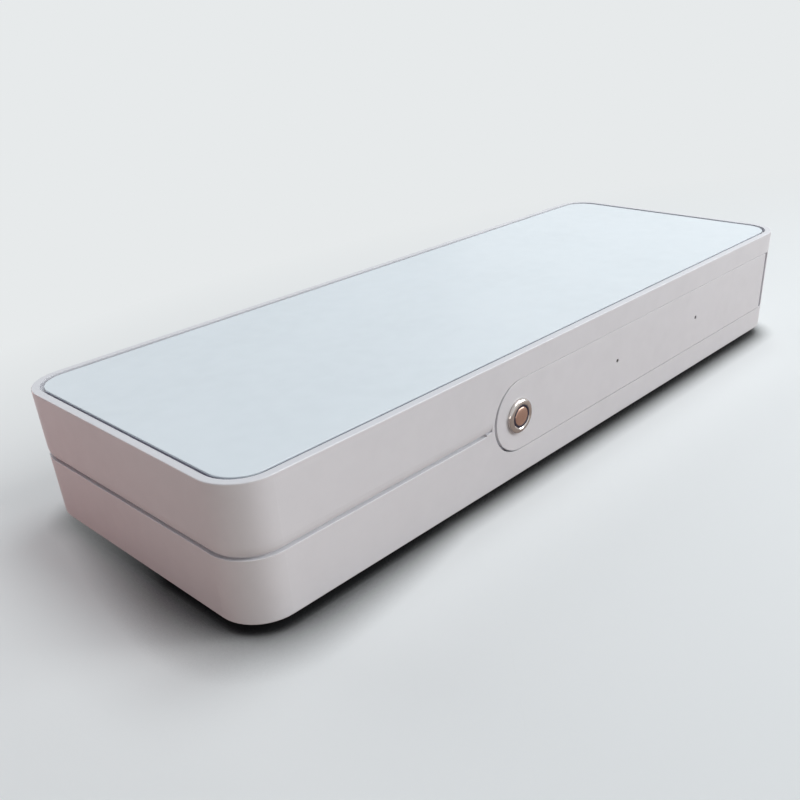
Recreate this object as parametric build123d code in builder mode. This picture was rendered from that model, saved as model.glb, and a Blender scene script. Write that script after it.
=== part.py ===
from build123d import *
import os
from math import pi, radians, tan

os.makedirs("parts", exist_ok=True)

# A digital audio reclocker: two painted shells, a panel laid into the top, a front plate with one
# half-round end, a push button, two indicators, and the power supply and clock boards inside.
# Millimetres. The origin is on the surface it stands on, under the middle of its overall box.
# +X is the front's right-hand side, +Y runs to the rear, +Z is up.

# Body
body_width = 450.0
body_depth = 165.0
body_height = 64.2
corner_radius = 20.0
wall = 6.0
floor_thickness = 4.0
deck_thickness = 2.9
seam_height = 31.7
bottom_edge_radius = 0.8
rim_edge_radius = 0.5

# Seam groove, only round the left end of the body
groove_depth = 2.2
groove_gap = 0.9
upper_round_in = 1.5
upper_round_up = 4.5
lower_round = 0.3
groove_front_stop = 5.7
groove_front_runout = 4.0
groove_rear_stop = 0.5

# Top panel, its tape and the pocket that they lie in
rim_width = 3.7
panel_gap = 1.9
panel_thickness = 1.6
panel_recess = 0.2
panel_edge_radius = 0.3
tape_thickness = 0.3
tape_width = 14.0
tape_inset = 3.0

# Front plate and its pocket and window
indicator_line = 32.8
switch_from_left = 166.1
plate_height = 36.8
plate_thickness = 3.2
plate_gap = 0.25
plate_end_gap = 1.6
plate_right_inset = 19.2
plate_right_gap = 3.4
plate_corner = 0.8
plate_edge_radius = 0.25
plate_ledge = 4.5
plate_screw_radius = 1.25
plate_screw_head_radius = 2.2
plate_screw_head_height = 1.4
plate_screw_bite = 2.0
plate_screw_pitch = 84.0
plate_screw_columns = 3
plate_screw_offset = 62.0

# Push button switch
bezel_radius = 8.8
bezel_height = 2.0
bezel_lip = 0.6
bezel_land = 6.35
barrel_radius = 7.9
barrel_wall = 1.7
barrel_length = 22.0
barrel_clearance = 0.15
ring_outer = 5.86
ring_inner = 4.88
ring_length = 9.0
ring_clearance = 0.04
cap_clearance = 0.1
cap_length = 8.0
cap_proud = 0.25
cap_edge_radius = 0.6
button_travel = 1.8
stem_radius = 2.5
stem_length = 11.0
stem_clearance = 0.25
block_clearance = 0.1
block_inside = 6.0
block_outside = 7.0
block_outer_radius = 7.4
switch_blade_width = 2.8
switch_blade_thickness = 0.5
switch_blade_length = 6.0
switch_blade_offset = 4.0
seal_radius = 11.0
seal_thickness = 1.0
nut_across_flats = 20.0
nut_thickness = 3.0
spring_wire = 0.25
spring_radius = 3.7
spring_turns = 5
spring_end_gap = 0.3
spring_steps_per_turn = 24

# Indicators
indicator_offsets = (87.5, 174.0)
lens_radius = 1.05
lens_clearance = 0.05
lens_flange_radius = 2.0
lens_flange_height = 1.0
lamp_radius = 1.5
lamp_gap = 0.3
indicator_board_margin = 12.0
indicator_board_height = 12.0
post_radius = 2.5
post_length = 6.0
post_inset = 20.0
post_hole_radius = 1.3
post_screw_radius = 1.25
post_screw_bite = 4.0

# Rear panel and the opening behind it
rear_panel_side_inset = 23.0
rear_panel_edge_inset = 7.1
rear_panel_thickness = 2.5
rear_panel_recess = 0.5
rear_panel_corner = 3.0
rear_panel_gap = 0.3
rear_ledge = 6.0
rear_screw_radius = 1.5
rear_screw_head_radius = 2.8
rear_screw_length = 6.0

# Mains inlet with its fuse drawer
inlet_inset = 60.0
inlet_flange_width = 50.0
inlet_flange_height = 35.0
inlet_flange_thickness = 2.5
inlet_body_width = 29.0
inlet_body_height = 31.0
inlet_body_depth = 22.0
inlet_cutout_gap = 0.3
cavity_width = 24.6
cavity_height = 16.8
cavity_depth = 17.0
cavity_chamfer = 4.5
cavity_rise = 5.5
pin_width = 2.0
pin_height = 4.0
pin_length = 15.0
pin_spacing = 14.0
pin_offset = 2.0
pin_clearance = 0.05
tab_width = 6.3
tab_thickness = 0.8
tab_length = 8.0
drawer_width = 26.0
drawer_height = 8.6
drawer_depth = 18.0
drawer_drop = 9.2
drawer_clearance = 0.3
drawer_lip_width = 28.4
drawer_lip_height = 10.0
drawer_lip_thickness = 1.2
drawer_floor = 1.6
fuse_radius = 2.6
fuse_glass_radius = 2.3
fuse_length = 20.0
fuse_cap_length = 5.0
fuse_clearance = 0.2
fuse_set_back = 9.0
inlet_screw_spacing = 40.0
inlet_screw_radius = 1.5
inlet_screw_head_radius = 2.8
inlet_nut_flats = 5.5
inlet_nut_thickness = 2.4

# USB sockets. Their places are along a main board of the planned width, and stretch with it.
usb_proud = 0.6
usb_cutout_gap = 0.4
usb_input_along = 54.0
usb_input_width = 12.0
usb_input_height = 11.0
usb_input_depth = 16.5
usb_input_mouth_width = 8.6
usb_input_mouth_height = 7.9
usb_input_mouth_depth = 9.2
usb_input_tongue_width = 5.6
usb_input_tongue_height = 3.1
usb_input_tongue_length = 8.4
usb_output_along = 89.0
usb_output_width = 13.3
usb_output_height = 5.9
usb_output_depth = 14.0
usb_output_mouth_width = 12.5
usb_output_mouth_height = 5.12
usb_output_mouth_depth = 10.0
usb_output_tongue_width = 11.1
usb_output_tongue_height = 1.84
usb_output_tongue_rise = 0.9
usb_output_tongue_length = 8.8

# Coaxial jacks, placed as the USB sockets are
coax_along = (136.0, 170.0)
coax_radius = 4.15
coax_bore = 3.3
coax_reach = 9.0
coax_flange_radius = 6.0
coax_flange_thickness = 1.5
coax_thread_radius = 4.4
coax_thread_length = 10.0
coax_clearance = 0.1
coax_contact_radius = 1.9
coax_contact_bore = 1.6
coax_contact_depth = 9.0
coax_tail_radius = 0.8
coax_tail_length = 5.0
coax_nut_flats = 11.0
coax_nut_thickness = 2.5

# Shell bosses and screws
boss_radius = 5.5
boss_inset_x = 13.0
boss_inset_y = 11.0
front_boss_left_of_board = 4.0
rear_boss_left_of_board_end = 14.0
shell_screw_radius = 2.0
shell_screw_head_radius = 3.8
shell_screw_head_height = 2.6
shell_screw_recess = 3.2
shell_screw_bite = 14.0
screw_clearance = 0.2
thread_clearance = 0.05
screw_end_gap = 1.0

# Feet
foot_height = 6.0
foot_radius = 16.0
foot_inset_x = 42.0
foot_inset_y = 36.0
foot_pad_radius = 12.5
foot_pad_proud = 1.6
foot_pad_thickness = 2.8
foot_edge_radius = 0.6
foot_screw_radius = 2.0
foot_screw_head_radius = 3.9
foot_screw_head_height = 1.8
foot_screw_bite = 3.4

# Transformer
transformer_side_gap = 19.0
transformer_rear_gap = 42.0
winding_radius = 44.0
winding_bore = 13.0
winding_height = 35.0
winding_round = 8.0
winding_bore_round = 4.0
winding_cover = 4.5
core_clearance = 0.2
pad_thickness = 1.5
pad_inset = 2.0
clamp_radius = 30.0
clamp_thickness = 2.0
clamp_hub_radius = 12.0
clamp_hub_drop = 2.0
clamp_bolt_radius = 2.5
clamp_bolt_head_radius = 4.8
clamp_bolt_head_height = 2.6
clamp_bolt_spare = 2.5
clamp_nut_flats = 8.0
clamp_nut_thickness = 4.0

# Boards and their hardware
board_thickness = 1.6
standoff_height = 8.0
standoff_flats = 5.5
standoff_stud_radius = 1.45
standoff_stud_length = 2.4
board_hole_radius = 1.6
board_hole_inset = 4.5
board_screw_radius = 1.5
board_screw_head_radius = 2.8
board_screw_head_height = 1.8
board_screw_bite = 5.0
wire_channel = 16.0
power_board_width = 90.0
power_board_depth = 98.0
power_board_rear_gap = 15.2
board_gap = 12.0
main_board_side_gap = 6.5
main_board_depth = 113.0
main_board_planned_width = 194.0
main_board_rear_gap = 8.2

# Parts on the power board, placed from its own left front corner
rectifier_size = (15.0, 4.6, 10.0)
rectifier_at = (26.0, 16.0)
capacitor_radius = 10.0
capacitor_height = 30.0
capacitor_edge_radius = 1.0
capacitor_at = (44.0, 44.0)
capacitor_pitch = 22.5
regulator_size = (4.6, 10.2, 15.6)
regulator_pitch = 20.0
regulator_count = 3
heatsink_from_right = 14.0
heatsink_at = (power_board_width - heatsink_from_right, 56.5)
heatsink_size = (2.5, 66.0, 26.0)
heatsink_fin_depth = 8.0
heatsink_fin_thickness = 1.5
heatsink_fin_count = 7
terminal_size = (8.0, 22.0, 10.0)
terminal_at = ((5.0, 22.0), (5.0, 60.0))
terminal_hole_radius = 1.3
terminal_hole_depth = 5.0
terminal_pitch = 5.0
terminal_count = 4

# Parts on the main board, placed from its own left front corner. Places along it stretch with its width.
clock_size = (36.0, 27.0, 12.7)
clock_at = (62.0, 42.0)
clock_edge_radius = 1.5
chip_sizes = ((14.0, 14.0, 1.4), (10.0, 10.0, 1.2), (7.0, 7.0, 1.0), (12.0, 10.0, 7.0), (12.0, 10.0, 7.0))
chip_at = ((108.0, 48.0), (64.0, 76.0), (112.0, 76.0), (136.0, 76.0), (170.0, 76.0))
header_size = (6.0, 14.0, 8.0)
header_inset = 5.0
power_header_from_front = 15.6
main_header_from_front = 20.6
lamp_header_at = (30.0, 8.0)
lamp_header_size = (12.0, 6.0, 8.0)

# Earth stud
earth_from_inlet = 43.0
earth_rear_gap = 15.2
earth_stud_radius = 2.0
earth_stud_height = 12.0
earth_stud_bite = 3.0
earth_nut_flats = 7.0
earth_nut_thickness = 3.2
lug_radius = 4.5
lug_thickness = 0.8
lug_length = 9.0
lug_width = 5.0
lug_barrel_length = 3.5

# Inner wiring
mains_lead_radius = 1.1
winding_lead_radius = 0.9
signal_lead_radius = 0.6
supply_lead_count = 4
lamp_lead_count = 3
lead_pitch = 3.0
bend_share = 0.45
winding_exit_angles = (-4.0, 3.0, 22.0, 28.0, 34.0, 40.0)
winding_exit_run = 5.0
winding_exit_rise = 1.0

# Places that follow from the sizes above
front_proud = bezel_height + cap_proud
rear_proud = coax_reach - rear_panel_recess
overall_depth = body_depth + front_proud + rear_proud
front_y = -overall_depth / 2 + front_proud
rear_y = front_y + body_depth
middle_y = (front_y + rear_y) / 2
body_bottom = foot_height
seam_z = body_bottom + seam_height
body_top = body_bottom + body_height
inside_bottom = body_bottom + floor_thickness
pocket_depth = tape_thickness + panel_thickness + panel_recess
inside_top = body_top - pocket_depth - deck_thickness
panel_inset = rim_width + panel_gap
line_z = body_bottom + indicator_line
switch_x = -body_width / 2 + switch_from_left
plate_right = body_width / 2 - plate_right_inset
plate_radius = plate_height / 2
plate_back = front_y + plate_thickness
pocket_left = switch_x - plate_radius - plate_gap
plate_left = pocket_left + plate_end_gap
rear_z = (body_bottom + body_top) / 2
rear_panel_width = body_width - 2 * rear_panel_side_inset
rear_panel_height = body_height - 2 * rear_panel_edge_inset
rear_face = rear_y - rear_panel_recess
rear_panel_back = rear_face - rear_panel_thickness
inlet_x = -body_width / 2 + inlet_inset
indicator_xs = [switch_x + offset for offset in indicator_offsets]
transformer_x = -body_width / 2 + wall + transformer_side_gap + winding_radius
transformer_y = rear_y - wall - transformer_rear_gap - winding_radius
board_bottom = inside_bottom + standoff_height
board_top = board_bottom + board_thickness
power_board_left = transformer_x + winding_radius + wire_channel
power_board_right = power_board_left + power_board_width
power_board_rear = rear_y - wall - power_board_rear_gap
power_board_front = power_board_rear - power_board_depth
main_board_left = power_board_right + board_gap
main_board_right = body_width / 2 - boss_inset_x - boss_radius - main_board_side_gap
main_board_rear = rear_panel_back - main_board_rear_gap
main_board_front = main_board_rear - main_board_depth
main_board_width = main_board_right - main_board_left
board_stretch = main_board_width / main_board_planned_width
usb_input_x = main_board_left + board_stretch * usb_input_along
usb_output_x = main_board_left + board_stretch * usb_output_along
coax_xs = [main_board_left + board_stretch * place for place in coax_along]
earth_x = inlet_x + earth_from_inlet
earth_y = rear_y - wall - earth_rear_gap
boss_points = [
    (side * (body_width / 2 - boss_inset_x), end * (body_depth / 2 - boss_inset_y))
    for side in (-1, 1)
    for end in (-1, 1)
]
boss_points += [
    (power_board_left - front_boss_left_of_board, -body_depth / 2 + boss_inset_y),
    (power_board_right - rear_boss_left_of_board_end, body_depth / 2 - boss_inset_y),
]
foot_points = [
    (side * (body_width / 2 - foot_inset_x), end * (body_depth / 2 - foot_inset_y))
    for side in (-1, 1)
    for end in (-1, 1)
]


def level(x, y, z):
    """Sketch plane that faces up: its X and Y are the part's."""
    return Plane(origin=(x, y, z))


def downward(x, y, z):
    """Sketch plane that faces down: its X is the part's, its Y runs to the front."""
    return Plane(origin=(x, y, z), x_dir=(1, 0, 0), z_dir=(0, 0, -1))


def forward(x, y, z):
    """Sketch plane that faces the front: its X is the part's, its Y runs up."""
    return Plane(origin=(x, y, z), x_dir=(1, 0, 0), z_dir=(0, -1, 0))


def rearward(x, y, z):
    """Sketch plane that faces the rear: its X runs to the part's -X, its Y runs up."""
    return Plane(origin=(x, y, z), x_dir=(-1, 0, 0), z_dir=(0, 1, 0))


def spread(middle, count, pitch):
    """Evenly spaced places about a middle one."""
    return [middle + (place - (count - 1) / 2) * pitch for place in range(count)]


def rounds(plane, radius, height, points=((0, 0),), mode=Mode.ADD):
    """Cylinders on a plane, or with Mode.SUBTRACT holes; a negative height goes behind the plane."""
    with BuildSketch(plane) as circles:
        with Locations(*points):
            Circle(radius)
    extrude(circles.sketch, amount=height, mode=mode)


def blocks(plane, width, depth, height, points=((0, 0),), corner=0, mode=Mode.ADD):
    """Blocks on a plane, with upright corners rounded if a corner radius is given."""
    with BuildSketch(plane) as outlines:
        with Locations(*points):
            if corner:
                RectangleRounded(width, depth, corner)
            else:
                Rectangle(width, depth)
    extrude(outlines.sketch, amount=height, mode=mode)


def hexagons(plane, flats, height, points=((0, 0),), mode=Mode.ADD):
    """Hexagonal prisms, sized across the flats."""
    with BuildSketch(plane) as outlines:
        with Locations(*points):
            RegularPolygon(radius=flats / 2, side_count=6, major_radius=False)
    extrude(outlines.sketch, amount=height, mode=mode)


def pan_screws(plane, radius, length, head_radius, head_height, points=((0, 0),)):
    """Pan-head screws: the head stands on the plane, the shank goes behind it."""
    rounds(plane, head_radius, head_height, points)
    rounds(plane, radius, -length, points)


def shifted(plane, x, y, z=0):
    """The same plane, moved along its own X, Y and Z."""
    return Plane(plane * Location((x, y, z)))


def sunk_screws(plane, radius, length, head_radius, head_height, points=((0, 0),)):
    """Countersunk screws whose heads are flush with the plane."""
    for x, y in points:
        with BuildSketch(shifted(plane, x, y)) as wide:
            Circle(head_radius)
        with BuildSketch(shifted(plane, x, y, -head_height)) as narrow:
            Circle(radius)
        loft([wide.sketch.face(), narrow.sketch.face()])
    rounds(plane, radius, -length, points)


def sunk_holes(plane, radius, depth, head_radius, head_height, points=((0, 0),)):
    """Countersunk holes, cut from the plane."""
    for x, y in points:
        with BuildSketch(shifted(plane, x, y)) as wide:
            Circle(head_radius)
        with BuildSketch(shifted(plane, x, y, -head_height)) as narrow:
            Circle(radius)
        loft([wide.sketch.face(), narrow.sketch.face()], mode=Mode.SUBTRACT)
    rounds(plane, radius, -depth, points, mode=Mode.SUBTRACT)


def round_end_outline(plane, left, right, half_height, corner):
    """Outline with a half-round left end and a square right end; the plane's X is measured."""
    with BuildSketch(plane) as outline:
        middle = left + half_height
        with Locations((middle, 0)):
            Circle(half_height)
        with Locations(((middle + right) / 2, 0)):
            Rectangle(right - middle, 2 * half_height)
        fillet(outline.vertices().group_by(Axis.X)[-1], corner)
    return outline.sketch


def lead(points, radius):
    """One insulated wire: straight runs joined by tangent arcs, as large as the runs allow."""
    corners = [Vector(*point) for point in points]
    bends = []
    for before, here, after in zip(corners, corners[1:], corners[2:]):
        turn = (here - before).get_angle(after - here)
        shorter = min((here - before).length, (after - here).length)
        bends.append(bend_share * shorter / tan(radians(turn) / 2))
    with BuildLine() as route:
        FilletPolyline(*corners, radius=bends)
    with BuildSketch(Plane(origin=route.line @ 0, z_dir=route.line % 0)) as section:
        Circle(radius)
    tube = sweep(section.sketch, path=route.line)
    share = tube.volume / (pi * radius**2 * route.wire().length)
    print(f"lead of radius {radius}: bends {[round(bend, 1) for bend in bends]}, volume share {share:.4f}")


def finish(builder, name):
    """Labels a finished piece and writes it under its node's name."""
    builder.part.label = name
    export_step(builder.part, f"parts/{name}.step")


# Outlines and patterns that more than one piece uses
lower_groove_start = pocket_left - groove_front_stop
upper_groove_start = lower_groove_start + groove_front_runout
groove_end_x = -body_width / 2 + corner_radius + groove_rear_stop
window_left = pocket_left + plate_ledge
window_right = plate_right + plate_right_gap - plate_ledge
window_half = plate_radius + plate_gap - plate_ledge
plate_screw_points = [
    (plate_left + plate_screw_offset + column * plate_screw_pitch, side * (plate_radius - plate_ledge / 2))
    for column in range(plate_screw_columns)
    for side in (-1, 1)
]
rear_screw_points = [
    (across * (rear_panel_width - rear_ledge) / 2, up * (rear_panel_height - rear_ledge) / 2)
    for across in (-1, 0, 1)
    for up in (-1, 1)
]
post_xs = (indicator_xs[0] + post_inset, indicator_xs[1] - post_inset)
power_board_centre = ((power_board_left + power_board_right) / 2, (power_board_front + power_board_rear) / 2)
main_board_centre = ((main_board_left + main_board_right) / 2, (main_board_front + main_board_rear) / 2)
standoff_points = [
    (centre_x + side * (width / 2 - board_hole_inset), centre_y + end * (depth / 2 - board_hole_inset))
    for (centre_x, centre_y), width, depth in (
        (power_board_centre, power_board_width, power_board_depth),
        (main_board_centre, main_board_width, main_board_depth),
    )
    for side in (-1, 1)
    for end in (-1, 1)
]
winding_bottom = inside_bottom + pad_thickness
winding_top = winding_bottom + winding_height
clamp_top = winding_top + pad_thickness + clamp_thickness - clamp_hub_drop


def from_below(points):
    """The same places on a sketch plane that faces down."""
    return [(x, -y) for x, y in points]


def groove_path(start_x):
    """Line along the outside of the seam, from the front round the left end to the rear."""
    with BuildLine() as route:
        FilletPolyline(
            (start_x, front_y, seam_z),
            (-body_width / 2, front_y, seam_z),
            (-body_width / 2, rear_y, seam_z),
            (groove_end_x, rear_y, seam_z),
            radius=corner_radius,
        )
    return route.line


def across_groove(start_x):
    """Sketch plane across the groove's start: its X points out of the body, its Y up."""
    return Plane(origin=(start_x, front_y, seam_z), x_dir=(0, -1, 0), z_dir=(-1, 0, 0))


def cut_front_and_rear():
    """Front pocket and window, and the rear rebate and opening, in the shell being built."""
    pocket = round_end_outline(
        forward(0, front_y, line_z),
        pocket_left,
        plate_right + plate_right_gap,
        plate_radius + plate_gap,
        plate_corner,
    )
    extrude(pocket, amount=-plate_thickness, mode=Mode.SUBTRACT)
    window = round_end_outline(
        forward(0, front_y, line_z),
        window_left,
        window_right,
        window_half,
        plate_corner,
    )
    extrude(window, amount=-2 * wall, mode=Mode.SUBTRACT)
    rounds(
        forward(0, plate_back, line_z),
        plate_screw_radius + screw_clearance,
        -2 * wall,
        plate_screw_points,
        mode=Mode.SUBTRACT,
    )
    blocks(
        rearward(0, rear_y, rear_z),
        rear_panel_width + 2 * rear_panel_gap,
        rear_panel_height + 2 * rear_panel_gap,
        -(rear_panel_recess + rear_panel_thickness),
        corner=rear_panel_corner,
        mode=Mode.SUBTRACT,
    )
    blocks(
        rearward(0, rear_y, rear_z),
        rear_panel_width - 2 * rear_ledge,
        rear_panel_height - 2 * rear_ledge,
        -2 * wall,
        corner=rear_panel_corner,
        mode=Mode.SUBTRACT,
    )
    rounds(
        rearward(0, rear_panel_back, rear_z),
        rear_screw_radius + thread_clearance,
        -wall,
        rear_screw_points,
        mode=Mode.SUBTRACT,
    )


# Lower shell: floor, walls, bosses for the long screws, and tapped holes for what stands on it
with BuildPart() as lower_shell:
    blocks(level(0, middle_y, body_bottom), body_width, body_depth, seam_height, corner=corner_radius)
    fillet(lower_shell.faces().sort_by(Axis.Z)[0].edges(), bottom_edge_radius)
    blocks(
        level(0, middle_y, inside_bottom),
        body_width - 2 * wall,
        body_depth - 2 * wall,
        seam_height,
        corner=corner_radius - wall,
        mode=Mode.SUBTRACT,
    )
    rounds(level(0, middle_y, inside_bottom), boss_radius, seam_z - inside_bottom, boss_points)
    cut_front_and_rear()
    rounds(
        downward(0, middle_y, seam_z),
        shell_screw_radius + screw_clearance,
        seam_height,
        from_below(boss_points),
        mode=Mode.SUBTRACT,
    )
    rounds(
        downward(0, middle_y, body_bottom),
        shell_screw_head_radius + screw_clearance,
        -shell_screw_recess,
        from_below(boss_points),
        mode=Mode.SUBTRACT,
    )
    rounds(
        downward(0, middle_y, body_bottom),
        foot_screw_radius + thread_clearance,
        -foot_screw_bite,
        from_below(foot_points),
        mode=Mode.SUBTRACT,
    )
    rounds(
        level(0, 0, inside_bottom),
        standoff_stud_radius + thread_clearance,
        -standoff_stud_length,
        standoff_points,
        mode=Mode.SUBTRACT,
    )
    rounds(
        level(earth_x, earth_y, inside_bottom),
        earth_stud_radius + thread_clearance,
        -earth_stud_bite,
        mode=Mode.SUBTRACT,
    )
    sunk_holes(
        downward(transformer_x, transformer_y, body_bottom),
        clamp_bolt_radius + screw_clearance,
        floor_thickness,
        clamp_bolt_head_radius + screw_clearance,
        clamp_bolt_head_height + screw_clearance,
    )
    with BuildSketch(across_groove(lower_groove_start)) as lower_groove:
        with BuildLine():
            Polyline(
                (0, -groove_gap - lower_round),
                (groove_depth, -groove_gap - lower_round),
                (groove_depth, groove_depth),
                (-groove_depth, groove_depth),
                (-groove_depth, -groove_gap),
                (-lower_round, -groove_gap),
            )
            CenterArc((-lower_round, -groove_gap - lower_round), lower_round, 90, -90)
        make_face()
    sweep(lower_groove.sketch, path=groove_path(lower_groove_start), mode=Mode.SUBTRACT)
finish(lower_shell, "lower_shell")

# Upper shell: deck with the panel's pocket, walls, and bosses that the long screws bite into
with BuildPart() as upper_shell:
    blocks(level(0, middle_y, seam_z), body_width, body_depth, body_top - seam_z, corner=corner_radius)
    fillet(upper_shell.faces().sort_by(Axis.Z)[-1].edges(), rim_edge_radius)
    blocks(
        level(0, middle_y, body_top),
        body_width - 2 * rim_width,
        body_depth - 2 * rim_width,
        -pocket_depth,
        corner=corner_radius - rim_width,
        mode=Mode.SUBTRACT,
    )
    blocks(
        level(0, middle_y, seam_z),
        body_width - 2 * wall,
        body_depth - 2 * wall,
        inside_top - seam_z,
        corner=corner_radius - wall,
        mode=Mode.SUBTRACT,
    )
    rounds(level(0, middle_y, seam_z), boss_radius, inside_top - seam_z, boss_points)
    cut_front_and_rear()
    rounds(
        level(0, middle_y, seam_z),
        shell_screw_radius + thread_clearance,
        shell_screw_bite + screw_end_gap,
        boss_points,
        mode=Mode.SUBTRACT,
    )
    with BuildSketch(across_groove(upper_groove_start)) as upper_groove:
        with BuildLine():
            Polyline(
                (-upper_round_in, 0),
                (-upper_round_in, -groove_depth),
                (groove_depth, -groove_depth),
                (groove_depth, upper_round_up),
                (0, upper_round_up),
            )
            EllipticalCenterArc(
                (-upper_round_in, upper_round_up),
                upper_round_in,
                upper_round_up,
                start_angle=270,
                arc_size=90,
            )
        make_face()
    sweep(upper_groove.sketch, path=groove_path(upper_groove_start), mode=Mode.SUBTRACT)
finish(upper_shell, "upper_shell")

# Top panel and the tape that bonds it into its pocket
with BuildPart() as top_panel:
    blocks(
        level(0, middle_y, body_top - panel_recess),
        body_width - 2 * panel_inset,
        body_depth - 2 * panel_inset,
        -panel_thickness,
        corner=corner_radius - panel_inset,
    )
    fillet(top_panel.faces().sort_by(Axis.Z)[-1].edges(), panel_edge_radius)
finish(top_panel, "top_panel")

with BuildPart() as panel_tape:
    tape_outside = panel_inset + tape_inset
    tape_inside = tape_outside + tape_width
    blocks(
        level(0, middle_y, body_top - pocket_depth),
        body_width - 2 * tape_outside,
        body_depth - 2 * tape_outside,
        tape_thickness,
        corner=corner_radius - tape_outside,
    )
    blocks(
        level(0, middle_y, body_top - pocket_depth),
        body_width - 2 * tape_inside,
        body_depth - 2 * tape_inside,
        tape_thickness,
        mode=Mode.SUBTRACT,
    )
finish(panel_tape, "panel_tape")

# Front plate: hole for the switch, holes for the indicators, and two posts for the indicator board
with BuildPart() as front_plate:
    plate_outline = round_end_outline(
        forward(0, front_y, line_z), plate_left, plate_right, plate_radius, plate_corner
    )
    extrude(plate_outline, amount=-plate_thickness)
    fillet(front_plate.faces().sort_by(Axis.Y)[0].edges(), plate_edge_radius)
    rounds(rearward(0, plate_back, line_z), post_radius, post_length, [(-x, 0) for x in post_xs])
    rounds(
        rearward(0, plate_back + post_length, line_z),
        post_hole_radius,
        -post_screw_bite - screw_end_gap,
        [(-x, 0) for x in post_xs],
        mode=Mode.SUBTRACT,
    )
    rounds(
        forward(switch_x, front_y, line_z),
        barrel_radius + barrel_clearance,
        -plate_thickness,
        mode=Mode.SUBTRACT,
    )
    rounds(
        forward(0, front_y, line_z),
        lens_radius + lens_clearance,
        -plate_thickness,
        [(x, 0) for x in indicator_xs],
        mode=Mode.SUBTRACT,
    )
    rounds(
        forward(0, plate_back, line_z),
        plate_screw_radius + thread_clearance,
        plate_screw_bite,
        plate_screw_points,
        mode=Mode.SUBTRACT,
    )
finish(front_plate, "front_plate")

with BuildPart() as front_plate_screws:
    pan_screws(
        rearward(0, front_y + wall, line_z),
        plate_screw_radius,
        wall - plate_thickness + plate_screw_bite,
        plate_screw_head_radius,
        plate_screw_head_height,
        [(-x, y) for x, y in plate_screw_points],
    )
finish(front_plate_screws, "front_plate_screws")

# Push button switch: bezel and barrel in one, a light ring, the moving cap and the parts behind it
bezel_face = front_y - bezel_height
barrel_end = front_y + barrel_length
barrel_bore = barrel_radius - barrel_wall
cap_front = bezel_face - cap_proud
cap_radius = ring_inner - cap_clearance
cap_back = cap_front + cap_length
block_front = barrel_end - block_inside
block_bore_depth = cap_back + stem_length - block_front + button_travel + screw_end_gap

with BuildPart() as switch_body:
    with BuildSketch(level(switch_x, 0, line_z)):
        with BuildLine():
            Polyline((ring_outer + ring_clearance, bezel_face), (bezel_land, bezel_face))
            EllipticalCenterArc(
                (bezel_land, front_y - bezel_lip),
                bezel_radius - bezel_land,
                bezel_height - bezel_lip,
                start_angle=270,
                arc_size=90,
            )
            Polyline(
                (bezel_radius, front_y - bezel_lip),
                (bezel_radius, front_y),
                (barrel_radius, front_y),
                (barrel_radius, barrel_end),
                (barrel_bore, barrel_end),
                (barrel_bore, bezel_face + ring_length),
                (ring_outer + ring_clearance, bezel_face + ring_length),
                (ring_outer + ring_clearance, bezel_face),
            )
        make_face()
    revolve(axis=Axis((switch_x, 0, line_z), (0, 1, 0)))
finish(switch_body, "switch_body")

with BuildPart() as switch_light_ring:
    rounds(forward(switch_x, bezel_face, line_z), ring_outer, -ring_length)
    rounds(forward(switch_x, bezel_face, line_z), ring_inner, -ring_length, mode=Mode.SUBTRACT)
finish(switch_light_ring, "switch_light_ring")

with BuildPart() as switch_button:
    rounds(forward(switch_x, cap_front, line_z), cap_radius, -cap_length)
    fillet(switch_button.faces().sort_by(Axis.Y)[0].edges(), cap_edge_radius)
    rounds(rearward(switch_x, cap_back, line_z), stem_radius, stem_length)
finish(switch_button, "switch_button")

with BuildPart() as switch_contact_block:
    rounds(rearward(switch_x, block_front, line_z), barrel_bore - block_clearance, block_inside)
    rounds(rearward(switch_x, barrel_end, line_z), block_outer_radius, block_outside)
    rounds(
        rearward(switch_x, block_front, line_z),
        stem_radius + stem_clearance,
        block_bore_depth,
        mode=Mode.SUBTRACT,
    )
finish(switch_contact_block, "switch_contact_block")

blade_start = barrel_end + block_outside
blade_end = blade_start + switch_blade_length
blade_points = [(-switch_blade_offset, 0), (switch_blade_offset, 0)]
with BuildPart() as switch_terminals:
    blocks(
        rearward(switch_x, blade_start, line_z),
        switch_blade_thickness,
        switch_blade_width,
        switch_blade_length,
        blade_points,
    )
finish(switch_terminals, "switch_terminals")

with BuildPart() as switch_seal:
    rounds(rearward(switch_x, plate_back, line_z), seal_radius, seal_thickness)
    rounds(
        rearward(switch_x, plate_back, line_z),
        barrel_radius + barrel_clearance,
        seal_thickness,
        mode=Mode.SUBTRACT,
    )
finish(switch_seal, "switch_seal")

with BuildPart() as switch_nut:
    hexagons(rearward(switch_x, plate_back + seal_thickness, line_z), nut_across_flats, nut_thickness)
    rounds(
        rearward(switch_x, plate_back + seal_thickness, line_z),
        barrel_radius + thread_clearance,
        nut_thickness,
        mode=Mode.SUBTRACT,
    )
finish(switch_nut, "switch_nut")

spring_start = cap_back + spring_end_gap + spring_wire
spring_length = block_front - spring_end_gap - spring_wire - spring_start
with BuildPart() as switch_spring:
    with BuildLine() as spring_route:
        Helix(
            spring_length / spring_turns,
            spring_length,
            spring_radius,
            center=(switch_x, spring_start, line_z),
            direction=(0, 1, 0),
        )
    with BuildSketch(Plane(origin=spring_route.line @ 0, z_dir=spring_route.line % 0)):
        Circle(spring_wire)
    sweep(path=spring_route.line)
    steps = spring_turns * spring_steps_per_turn
    spring_points = [spring_route.line @ (step / steps) for step in range(steps + 1)]
    spring_gap = min(
        (there - here).length
        for place, here in enumerate(spring_points)
        for there in spring_points[place + spring_steps_per_turn // 2 :]
    )
print(f"least gap of the spring to itself: {spring_gap - 2 * spring_wire:.2f}")
finish(switch_spring, "switch_spring")

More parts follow.
